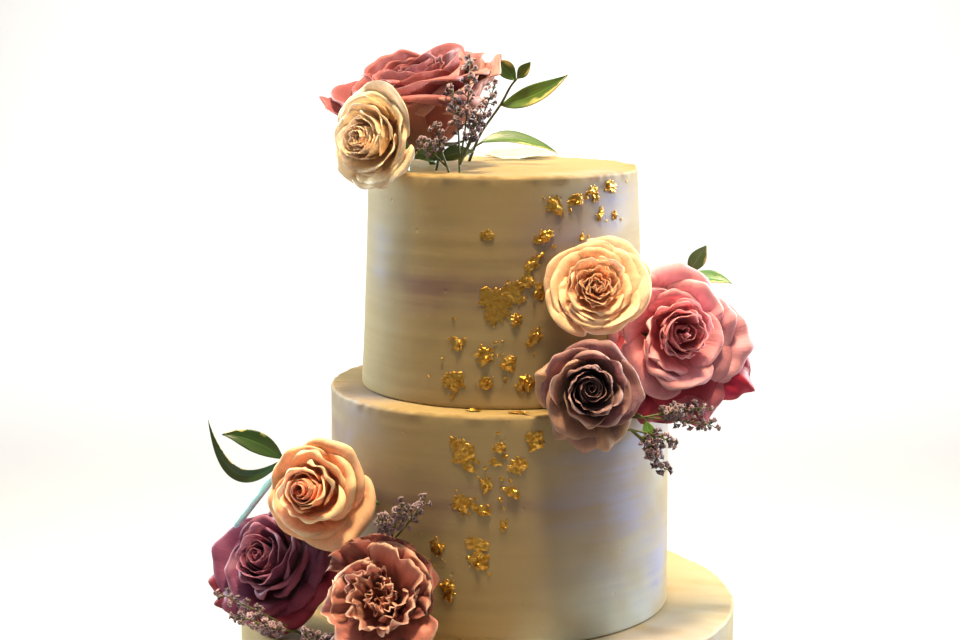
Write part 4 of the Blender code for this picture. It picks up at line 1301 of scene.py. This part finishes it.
def petal_surface(habit, layer, turn, draw, rows, columns):
    """A petal as a grid in mm, with the flower's axis along Z and its base at the origin.

    A cubic curve in (radius, height) with four control points gives its middle line. The curve's upper part
    follows the petal's outline, which is shorter at the sides and pointed in the middle. Past ROLL_START the
    rim turns back along an arc. The petal then wraps round the axis, by less at its foot and at its rim.
    """
    u = np.linspace(-1, 1, columns)[None, :]
    v = np.linspace(0, 1, rows)[:, None]
    uneven = draw.normal(0, 1, 8)
    phase = draw.uniform(0, TURN, 5)
    leaning = float(smooth(layer, habit.opens_from, 1.0)) * habit.lean
    loose = habit.looseness * (0.4 + 0.6 * layer)
    base, belly, shoulder, rim = petal_controls(habit, layer, leaning, loose, uneven)

    long = habit.waves * math.pi * (1 + 0.15 * uneven[2])
    wave = np.sin(u * long + phase[0]) + 0.5 * np.sin(u * long * 2.3 + phase[1])
    fold = np.sin(u * long * 1.7 + phase[2])
    short = habit.edge_waves * math.pi * (1 + 0.2 * uneven[6])
    ruffle = np.sin(u * short + phase[3]) * (0.7 + 0.3 * np.sin(u * 2.9 + phase[4]))
    ruffle = ruffle + 0.45 * np.sin(u * short * 1.9)
    creases = waves(draw, CREASES, u, 0.6 * v)

    reach = 1 - mix(0.10, habit.roundness, layer) * np.abs(u) ** 2.6 + 0.02 * wave
    reach = reach + habit.tip * layer * np.exp(-((u / 0.16) ** 2)) + 0.012 * habit.edge * ruffle
    shoulder_r, shoulder_z = (mix(b, s, reach) for b, s in zip(belly, shoulder))
    rim_r, rim_z = (mix(b, r, reach) for b, r in zip(belly, rim))
    t = np.clip(v / ROLL_START, 0, 1)
    weights = ((1 - t) ** 3, 3 * t * (1 - t) ** 2, 3 * t * t * (1 - t), t**3)
    out = sum(w * p for w, p in zip(weights, (base[0], belly[0], shoulder_r, rim_r)))
    up = sum(w * p for w, p in zip(weights, (base[1], belly[1], shoulder_z, rim_z)))

    tilt = np.arctan2(rim_r - shoulder_r, rim_z - shoulder_z)
    rolled = np.clip((v - ROLL_START) / (1 - ROLL_START), 0, 1)
    most = math.radians(mix(12.0, habit.roll * (1 + 0.2 * uneven[3]), float(smooth(layer, 0.1, 0.7))))
    pinch = mix(1.0, 0.55 + 0.45 * smooth(np.abs(u), 0.0, 0.6), 0.7 * float(smooth(layer, 0.4, 0.9)))
    curl = most * pinch * rolled * (1 + 0.25 * wave)
    curl_radius = mix(0.6, habit.roll_radius, float(smooth(layer, 0.2, 0.8)))
    out = out + curl_radius * (np.cos(tilt) * (1 - np.cos(curl)) + np.sin(tilt) * np.sin(curl))
    up = up + curl_radius * (np.cos(tilt) * np.sin(curl) - np.sin(tilt) * (1 - np.cos(curl)))

    lift = petal_lift(habit, layer, u, v, wave, fold, ruffle, creases)
    facing = tilt * smooth(v, 0.2, 0.8)
    out, up = out + lift * np.cos(facing), up - lift * np.sin(facing)
    tuck = habit.radius * 0.6 / habit.petals * mix(1.5, 3.0, layer)
    out = out + tuck * u * smooth(v, 0.0, 0.35) + 0.35 * loose * uneven[7] * up
    out = np.maximum(out, 0.15)

    width = mix(habit.inner_width, habit.outer_width, float(smooth(layer, 0, 0.5))) * (1 + 0.08 * uneven[4])
    narrow = np.sqrt(1 - habit.corner * layer * np.clip((v - 0.55) / 0.45, 0, 1) ** 2.4)
    angle = turn + loose * (uneven[5] + 0.6 * uneven[6] * v)
    angle = angle + width * (0.45 + 0.55 * smooth(v, 0, 0.55)) * narrow * u
    return np.stack([out * np.cos(angle), out * np.sin(angle), up + 0 * angle], -1)


def bloom_place(bloom):
    """The 4 by 4 place, in mm, of a flower whose base is at the origin and whose axis is Z."""
    azimuth, elevation = math.radians(bloom.azimuth), math.radians(bloom.elevation)
    level = math.cos(elevation)
    facing = Vector((math.sin(azimuth) * level, -math.cos(azimuth) * level, math.sin(elevation)))
    base = Vector(bloom.centre) - facing * bloom.habit.height * HEAD_MIDDLE
    turn = facing.to_track_quat("Z", "Y").to_matrix().to_4x4()
    return np.array(Matrix.Translation(base) @ turn @ Matrix.Rotation(math.radians(bloom.spin), 4, "Z"))


def blade(leaf, rows, columns, draw, wave=0.35):
    """A pointed leaf along a parabola through three points, folded along its midrib and a little wavy."""
    start, middle, end = (np.array(point, float) for point in (leaf.start, leaf.middle, leaf.end))
    control = middle * 2 - (start + end) / 2
    v = np.linspace(0, 1, rows)[:, None, None]
    u = np.linspace(-1, 1, columns)[None, :, None]
    path = start * (1 - v) ** 2 + control * 2 * v * (1 - v) + end * v * v
    along = unit((control - start) * (1 - v) + (end - control) * v)
    sideways = unit(np.cross(np.array(leaf.face, float), along))
    above = np.cross(along, sideways)
    half = leaf.width / 2 * np.maximum(0.03, np.sin(math.pi * v**0.85))
    ruffle = wave * np.sin(v * 9 + draw.uniform(0, TURN)) * u * u
    return path + sideways * u * half - above * (0.25 * half * (1 - np.abs(u) ** 1.4) - ruffle)


def curve_through(points, count):
    """A smooth path through the points: each coordinate by cubic Hermite pieces with central tangents."""
    points = np.asarray(points, float)
    tangent = np.gradient(points, axis=0)
    t = np.linspace(0, len(points) - 1, count)
    low = np.minimum(t.astype(int), len(points) - 2)
    s = (t - low)[:, None]
    path = points[low] * (2 * s**3 - 3 * s**2 + 1) + tangent[low] * (s**3 - 2 * s**2 + s)
    return path + points[low + 1] * (3 * s**2 - 2 * s**3) + tangent[low + 1] * (s**3 - s**2)


def clock_direction(degrees, turn):
    """A clock direction, as seen from the front, in the axes of a flower with this turn."""
    clock = math.radians(degrees)
    return np.array([math.sin(clock), 0.0, math.cos(clock)]) @ turn


def compass(direction):
    """The angle of a direction round a flower's axis."""
    return math.atan2(direction[1], direction[0])


def bloom_mesh(bloom, thickness):
    """Petals at the golden angle round the heart, guard petals, five sepals, and a neck with a stem.

    Petals thin out to their rims. Those on the side of the hang reach further, in proportion to their place.
    """
    draw = np.random.default_rng(bloom.seed)
    habit = bloom.habit
    place = bloom_place(bloom)
    turn, shift = place[:3, :3], place[:3, 3]
    hang_clock, hang_reach = bloom.hang
    blush_and_shade_clock, blush_and_shade_strength = bloom.blush_and_shade
    down = clock_direction(hang_clock, turn)
    blush_and_shade_angle = compass(clock_direction(blush_and_shade_clock, turn))
    assembly = Assembly()

    def add_petal(points, layer, own, red):
        level = points[..., :2] @ down[:2] / habit.radius
        grow = 1 + hang_reach * level
        points = points * np.stack([grow, grow, 0 * level + 1], -1)
        points = keep_off_tiers(points @ turn.T + shift)
        rows, columns = points.shape[:2]
        v = np.linspace(0, 1, rows)[:, None]
        u = np.abs(np.linspace(-1, 1, columns))[None, :]
        thin = thickness * (0.35 + 0.65 * (1 - smooth(v, 0.6, 1.0))) * (1 - 0.5 * smooth(u, 0.8, 1.0))
        assembly.sheet(points, thin, (layer, own, red))

    for number in range(habit.petals):
        layer = number / (habit.petals - 1)
        detail = mix(HEART_DETAIL, 1, layer)
        rows, columns = int(PETAL_ROWS * detail), int(PETAL_COLUMNS * detail)
        points = petal_surface(habit, layer, number * GOLDEN_ANGLE, draw, rows, columns)
        # Outer petals on one side take the guard colour: a blush on some flowers, painted shade on the mauve
        # rose and the lisianthus.
        facing = math.cos(number * GOLDEN_ANGLE - blush_and_shade_angle)
        red = blush_and_shade_strength * float(smooth(facing, *BLUSH_AND_SHADE_SIDES) * smooth(layer, *BLUSH_AND_SHADE_LAYERS))
        points[..., 2] -= BLUSH_AND_SHADE_DROP * red
        add_petal(points, layer, draw.uniform(), red)
    for guard in bloom.guards:
        angle = compass(clock_direction(guard.clock, turn))
        wide = habit._replace(radius=habit.radius * guard.reach, outer_width=guard.wide, roll=guard.roll)
        wide = wide._replace(tip=GUARD_TIP, looseness=0)
        points = petal_surface(wide, 1.0, angle, draw, PETAL_ROWS, PETAL_COLUMNS)
        points[..., 2] -= GUARD_DROP
        add_petal(points, 1.0, draw.uniform(), guard.red)
    for number in range(SEPALS):
        angle = number * TURN / SEPALS + SEPAL_TURN
        out = np.array([math.cos(angle), math.sin(angle), 0.0])
        sides = math.cos(angle - compass(down))
        reach = CALYX_REACH + (bloom.calyx - CALYX_REACH) * float(smooth(sides, 0.0, 0.6))
        reach = habit.radius * reach * draw.uniform(0.9, 1.1)
        points = (out * 3, out * reach * 0.6 + (0, 0, -1.0), out * reach + (0, 0, draw.uniform(-4, 0)))
        sepal = Leaf(*points, SEPAL_WIDTH, (0, 0, 1))
        surface = keep_off_tiers(blade(sepal, *SEPAL_GRID, draw) @ turn.T + shift)
        assembly.sheet(surface, SEPAL_THICKNESS, (0.5, draw.uniform(), 0), slot=1)
    stem = np.concatenate([np.array(NECK, float) @ turn.T + shift, [bloom.foot]])
    path = curve_through(stem, STEM_POINTS)
    swell = STEM_RADIUS + NECK_SWELL * np.exp(-((np.linspace(0, 1, STEM_POINTS) / 0.25) ** 2))
    assembly.tube(path, swell, 12, STALK_TINT, slot=1)
    return assembly


def spray_mesh(spray):
    """A spray's leaves and its stem, which gets thinner to its tip."""
    draw = np.random.default_rng(len(spray.node))
    assembly = Assembly()
    for leaf in spray.leaves:
        assembly.sheet(blade(leaf, *LEAF_GRID, draw), LEAF_THICKNESS, (0.5, draw.uniform(), 0))
    path = curve_through(spray.stem, SPRAY_STEM_POINTS)
    assembly.tube(path, np.linspace(*SPRAY_STEM_RADII, SPRAY_STEM_POINTS), 8, STALK_TINT, slot=1)
    return assembly


def floret_template():
    """A five-lobed trumpet with a wall: its outline runs up the outside, over the rim and down the inside."""
    columns, rows = FLORET_COLUMNS, len(FLORET_PROFILE)
    profile = np.array(FLORET_PROFILE)
    angle = np.linspace(0, TURN, columns, endpoint=False)
    lobes = 1 + 0.22 * np.cos(5 * angle)[None, :] * smooth(profile[:, 1], 1.5, 3.0)[:, None]
    radius = profile[:, :1] * lobes
    wall = np.stack([radius * np.cos(angle), radius * np.sin(angle), profile[:, 1:] + 0 * radius], -1)
    vertices = np.concatenate([wall.reshape(-1, 3), FLORET_POLES])
    faces = [part[:, ::-1] for part in shell_faces(rows, columns)]
    rise = np.concatenate([np.repeat(FLORET_SHADES, columns), FLORET_POLE_SHADES])
    uv = np.stack([np.concatenate([np.tile(angle / TURN, rows), [0, 0]]), rise], -1)
    return vertices, faces, uv, rise


def look_along(directions, spots, sizes, spins):
    """4 by 4 places whose Z follows each direction, at each spot, with each size and spin."""
    z = unit(directions)
    x = unit(np.cross(z, SPIN_REFERENCE))
    y = np.cross(z, x)
    cos, sin = np.cos(spins)[:, None], np.sin(spins)[:, None]
    places = np.zeros((len(z), 4, 4))
    places[:, :3, 0] = (x * cos + y * sin) * sizes[:, None]
    places[:, :3, 1] = (y * cos - x * sin) * sizes[:, None]
    places[:, :3, 2] = z * sizes[:, None]
    places[:, :3, 3] = spots
    return places


def sprig_mesh(sprig, size):
    """Forked stems with short side twigs at the golden angle, and a few papery flowers on each twig."""
    draw = np.random.default_rng(sprig.seed)
    assembly = Assembly()
    foot, fork = np.array(sprig.foot, float), np.array(sprig.fork, float)
    path = curve_through([foot, mix(foot, fork, 0.5), fork], 6)
    assembly.tube(path, FORK_RADIUS, 7, STALK_TINT, slot=1)
    vertices, faces, uv, rise = floret_template()
    for tip in sprig.tips:
        tip = np.array(tip, float)
        bend = mix(fork, tip, 0.45) + draw.normal(0, 0.6, 3)
        path = curve_through([fork, bend, tip], SPRIG_POINTS)
        assembly.tube(path, np.linspace(*SPRIG_RADII, SPRIG_POINTS), 7, STALK_TINT, slot=1)
        axis = unit(tip - bend)
        side = unit(np.cross(axis, (0.3, 0.9, 0.2)))
        over = np.cross(axis, side)
        for number in range(sprig.florets):
            share = mix(FLOWERS_FROM, 1.0, number / (sprig.florets - 1))
            root = path[int(share * (SPRIG_POINTS - 1))]
            angle = number * GOLDEN_ANGLE
            out = unit(side * math.cos(angle) + over * math.sin(angle) + axis * 0.8)
            length = draw.uniform(1.5, 4.5) * (1.25 - 0.6 * share)
            end = root + out * length
            assembly.tube([root, mix(root, end, 0.5), end], TWIG_RADIUS, 5, STALK_TINT, slot=1)
            several = int(draw.integers(2, 4))
            directions = out + draw.normal(0, 0.45, (several, 3))
            spots = end + draw.normal(0, 0.55, (several, 3))
            sizes = size * draw.uniform(0.75, 1.15, several)
            places = look_along(directions, spots, sizes, draw.uniform(0, 6, several))
            shade = draw.uniform() * sprig.light
            tint = np.stack([rise, np.full(len(rise), shade), np.zeros(len(rise))], -1)
            assembly.stamp(vertices, faces, uv, tint, places)
    return assembly


def loose_petal_mesh():
    assembly = Assembly()
    surface = blade(LOOSE_PETAL, *LOOSE_PETAL_GRID, np.random.default_rng(2), wave=0.8)
    assembly.sheet(surface, LOOSE_PETAL_THICKNESS, (1.0, 0.5, 0))
    return assembly


def stem_tube_mesh():
    """A straight tube with a collar below its mouth and a rounded end."""
    assembly = Assembly()
    start, end = np.array(PICK_ENDS, float)
    path = mix(start, end, np.array(PICK_SHARES)[:, None])
    assembly.tube(path, PICK_RADIUS * np.array(PICK_TAPER), 28, NO_TINT)
    return assembly


def floor_mesh(width):
    """A floor that turns up into the backdrop along a quarter circle."""
    bend = np.linspace(0, math.pi / 2, 12)[1:]
    rear = FLOOR_BEND + BEND_RADIUS
    y = np.concatenate([[FLOOR_FRONT, FLOOR_BEND], FLOOR_BEND + BEND_RADIUS * np.sin(bend), [rear]])
    z = np.concatenate([[0, 0], BEND_RADIUS - BEND_RADIUS * np.cos(bend), [BACKDROP_TOP]]) - FLOOR_DROP
    across = np.linspace(-width / 2, width / 2, 3)
    sweep = np.stack(np.broadcast_arrays(across[None, :], y[:, None], z[:, None]), -1)
    assembly = Assembly()
    assembly.sheet(sweep, FLOOR_THICKNESS, NO_TINT)
    return assembly


# Settings


def colour_property(name, description, default):
    values = {"name": name, "description": description, "default": default}
    return FloatVectorProperty(**values, subtype="COLOR", min=0, max=1)


class CakeIcingSettings(bpy.types.PropertyGroup):
    cream: colour_property("Cream", "Colour of the buttercream", (0.365, 0.276, 0.150))
    # Colour of the painted cool side light on the right of the tiers.
    pale: colour_property("Pale", "Colour of the painted_light washes", (0.56, 0.60, 0.54))
    lavender: colour_property("Lavender", "Colour of the cool washes", (0.34, 0.33, 0.44))
    umber: colour_property("Umber", "Colour of the warm washes", (0.25, 0.165, 0.13))
    relief: FloatProperty(name="Relief", description="Strength of its waves", default=1.0, min=0, max=2)


class CakeGoldSettings(bpy.types.PropertyGroup):
    gold: colour_property("Gold", "Colour of the gold leaf", (0.72, 0.44, 0.10))
    crumple: FloatProperty(name="Crumple", description="Height of its folds", default=0.75, min=0, max=2)


class CakeFlowerSettings(bpy.types.PropertyGroup):
    thickness: FloatProperty(
        name="Petal Thickness", description="At its foot", default=0.35 * MM, unit="LENGTH", min=0.1 * MM
    )
    rose_right_purple: colour_property("Right Purple Rose", "Outer petals", (0.26, 0.12, 0.13))
    rose_right_cream: colour_property("Right Cream Rose", "Outer petals", (1.0, 0.60, 0.37))
    rose_right_mauve: colour_property("Right Mauve Rose", "Outer petals", (0.84, 0.35, 0.43))
    rose_left_peach: colour_property("Left Peach Rose", "Outer petals", (0.96, 0.50, 0.30))
    lisianthus_left: colour_property("Lisianthus", "Outer petals", (0.42, 0.14, 0.115))
    rose_left_burgundy: colour_property("Left Burgundy Rose", "Outer petals", (0.18, 0.040, 0.11))
    rose_top_cream: colour_property("Top Cream Rose", "Outer petals", (1.0, 0.75, 0.48))
    rose_top_pink: colour_property("Top Pink Rose", "Outer petals", (0.33, 0.072, 0.075))


class CakeGreenSettings(bpy.types.PropertyGroup):
    statice: colour_property("Statice", "Colour of the statice flowers", (0.44, 0.25, 0.31))
    floret_size: FloatProperty(
        name="Floret Size", description="Scale of the statice flowers", default=0.85, min=0.3, max=2
    )
    loose_petal: colour_property("Loose Petal", "Colour of the petal behind the leaves", (0.50, 0.52, 0.42))
    pick: colour_property("Stem Tube", "Colour of the plastic stem tube", (0.14, 0.46, 0.66))


class CakeStageSettings(bpy.types.PropertyGroup):
    floor: colour_property("Floor", "Colour of the floor", (0.44, 0.44, 0.44))
    backdrop: FloatProperty(name="Backdrop Light", description="Power of the backdrop's light", default=96.0)
    top: FloatProperty(name="Top Light", description="Power of the warm light overhead", default=7.4)
    overhead: FloatProperty(name="Overhead", description="Power of the broad overhead light", default=14.0)
    side: FloatProperty(name="Side Lights", description="Power of each side light", default=6.2)
    fill: FloatProperty(name="Front Fill", description="Power of the soft light in front", default=0.8)
    world: FloatProperty(name="Surround", description="Strength of the pale surround", default=0.30, min=0)
    floor_size: IntProperty(name="Floor Size", description="Its width in metres", default=16, min=2, max=40)


class CakeSettings(bpy.types.PropertyGroup):
    icing: PointerProperty(type=CakeIcingSettings)
    gold: PointerProperty(type=CakeGoldSettings)
    flowers: PointerProperty(type=CakeFlowerSettings)
    greens: PointerProperty(type=CakeGreenSettings)
    stage: PointerProperty(type=CakeStageSettings)


# Operators


class CAKE_OT_tiers(bpy.types.Operator):
    """Ice the three tiers"""

    bl_idname = "cake.tiers"
    bl_label = "Ice the Tiers"

    def execute(self, context):
        settings = context.scene.cake.icing
        icing = buttercream(settings)
        for tier in TIERS:
            obj = tier_mesh(tier, settings.relief).build(tier.node + "_icing", [icing])
            mount_piece(obj, tier.node)
        return {"FINISHED"}


class CAKE_OT_gold(bpy.types.Operator):
    """Lay the gold leaf on the top and middle tiers"""

    bl_idname = "cake.gold"
    bl_label = "Lay the Gold Leaf"

    def execute(self, context):
        settings = context.scene.cake.gold
        gold = gold_leaf(settings)
        for tier in TIERS:
            if tier.node in FLAKES:
                obj = gold_mesh(tier, settings.crumple).build(tier.node + "_gold_leaf", [gold])
                mount_piece(obj, tier.node)
        return {"FINISHED"}


class CAKE_OT_flowers(bpy.types.Operator):
    """Grow the roses and the lisianthus"""

    bl_idname = "cake.flowers"
    bl_label = "Grow the Flowers"

    def execute(self, context):
        settings = context.scene.cake.flowers
        green = leaf_material("Calyx green", CALYX_GREEN, 0.0)
        for bloom in BLOOMS:
            colour = tuple(getattr(settings, bloom.node))
            name = bloom.node + " petals"
            material = petal_material(name, colour, bloom.heart, bloom.base, bloom.rim, bloom.guard)
            obj = bloom_mesh(bloom, settings.thickness / MM).build(bloom.node + "_bloom", [material, green])
            mount_piece(obj, bloom.node)
        return {"FINISHED"}


class CAKE_OT_leaves(bpy.types.Operator):
    """Set the sprays of leaves"""

    bl_idname = "cake.leaves"
    bl_label = "Set the Leaves"

    def execute(self, context):
        stem = stem_material()
        for spray in SPRAYS:
            material = leaf_material(spray.node + " green", spray.tone, spray.margin)
            obj = spray_mesh(spray).build(spray.node + "_spray", [material, stem])
            mount_piece(obj, spray.node)
        return {"FINISHED"}


class CAKE_OT_statice(bpy.types.Operator):
    """Set the statice sprigs"""

    bl_idname = "cake.statice"
    bl_label = "Set the Statice"

    def execute(self, context):
        settings = context.scene.cake.greens
        materials = [floret_material(settings), stem_material()]
        for sprig in SPRIGS:
            obj = sprig_mesh(sprig, settings.floret_size).build(sprig.node + "_sprig", materials)
            mount_piece(obj, sprig.node)
        return {"FINISHED"}


class CAKE_OT_extras(bpy.types.Operator):
    """Add the loose petal and the stem tube"""

    bl_idname = "cake.extras"
    bl_label = "Add the Extras"

    def execute(self, context):
        settings = context.scene.cake.greens
        pale = tuple(settings.loose_petal)
        material = petal_material("Loose petal", pale, pale, scaled(pale, PETAL_BASE_SHADE), pale, pale)
        obj = loose_petal_mesh().build("petal_top_back_petal", [material])
        mount_piece(obj, "petal_top_back")
        obj = stem_tube_mesh().build("stem_pick_tube", [plastic_material(settings)])
        mount_piece(obj, "stem_pick")
        return {"FINISHED"}


def place_lamp(lamp, power):
    data = bpy.data.lights.new(lamp.name, "AREA")
    data.size, data.energy, data.color, data.spread = lamp.size, power, lamp.colour, math.radians(lamp.spread)
    light = bpy.data.objects.new(lamp.name, data)
    bpy.context.scene.collection.objects.link(light)
    aim = (Vector(lamp.target) - Vector(lamp.place)).to_track_quat("-Z", "Y")
    light.matrix_world = Matrix.Translation(lamp.place) @ aim.to_matrix().to_4x4()


def place_camera():
    data = bpy.data.cameras.new("Camera")
    data.lens, data.sensor_width = CAMERA_LENS, SENSOR_WIDTH
    camera = bpy.data.objects.new("Camera", data)
    bpy.context.scene.collection.objects.link(camera)
    level = math.cos(CAMERA_PITCH)
    ahead = Vector((math.sin(CAMERA_YAW) * level, math.cos(CAMERA_YAW) * level, -math.sin(CAMERA_PITCH)))
    aim = ahead.to_track_quat("-Z", "Y").to_matrix().to_4x4() @ Matrix.Rotation(CAMERA_ROLL, 4, "Z")
    camera.matrix_world = Matrix.Translation(CAMERA_PLACE) @ aim
    bpy.context.scene.camera = camera


class CAKE_OT_stage(bpy.types.Operator):
    """Set the floor, the lights and the camera"""

    bl_idname = "cake.stage"
    bl_label = "Set the Stage"

    def execute(self, context):
        settings = context.scene.cake.stage
        values = {"Roughness": 0.6, "Base Color": tuple(settings.floor)}
        material, _, _ = new_material("Pale floor", values)
        floor_mesh(settings.floor_size / MM).build("floor", [material])
        world = bpy.data.worlds.new("Pale surround")
        world.use_nodes = True
        background = world.node_tree.nodes["Background"]
        background.inputs["Color"].default_value = SURROUND
        background.inputs["Strength"].default_value = settings.world
        context.scene.world = world
        for lamp in LAMPS:
            place_lamp(lamp, getattr(settings, lamp.setting) * lamp.share)
        place_camera()
        context.scene.view_settings.view_transform = "Standard"
        return {"FINISHED"}


OPERATORS = (
    CAKE_OT_tiers,
    CAKE_OT_gold,
    CAKE_OT_flowers,
    CAKE_OT_leaves,
    CAKE_OT_statice,
    CAKE_OT_extras,
    CAKE_OT_stage,
)


class CAKE_PT_panel(bpy.types.Panel):
    bl_idname = "CAKE_PT_panel"
    bl_label = "Flowered Buttercream Cake"
    bl_space_type = "VIEW_3D"
    bl_region_type = "UI"
    bl_category = "Cake"

    def draw(self, context):
        settings = context.scene.cake
        for name in ("icing", "gold", "flowers", "greens", "stage"):
            box = self.layout.box()
            box.label(text=name.capitalize())
            part = getattr(settings, name)
            for key in part.__annotations__:
                box.prop(part, key)
        for operator in OPERATORS:
            self.layout.operator(operator.bl_idname)


CLASSES = (
    CakeIcingSettings,
    CakeGoldSettings,
    CakeFlowerSettings,
    CakeGreenSettings,
    CakeStageSettings,
    CakeSettings,
    *OPERATORS,
    CAKE_PT_panel,
)


def register():
    for cls in CLASSES:
        bpy.utils.register_class(cls)
    bpy.types.Scene.cake = PointerProperty(type=CakeSettings)


def unregister():
    del bpy.types.Scene.cake
    for cls in reversed(CLASSES):
        bpy.utils.unregister_class(cls)


def main():
    register()
    bpy.ops.cake.tiers()
    bpy.ops.cake.gold()
    bpy.ops.cake.flowers()
    bpy.ops.cake.leaves()
    bpy.ops.cake.statice()
    bpy.ops.cake.extras()
    bpy.ops.cake.stage()
    bpy.context.view_layer.update()


if __name__ == "__main__":
    main()
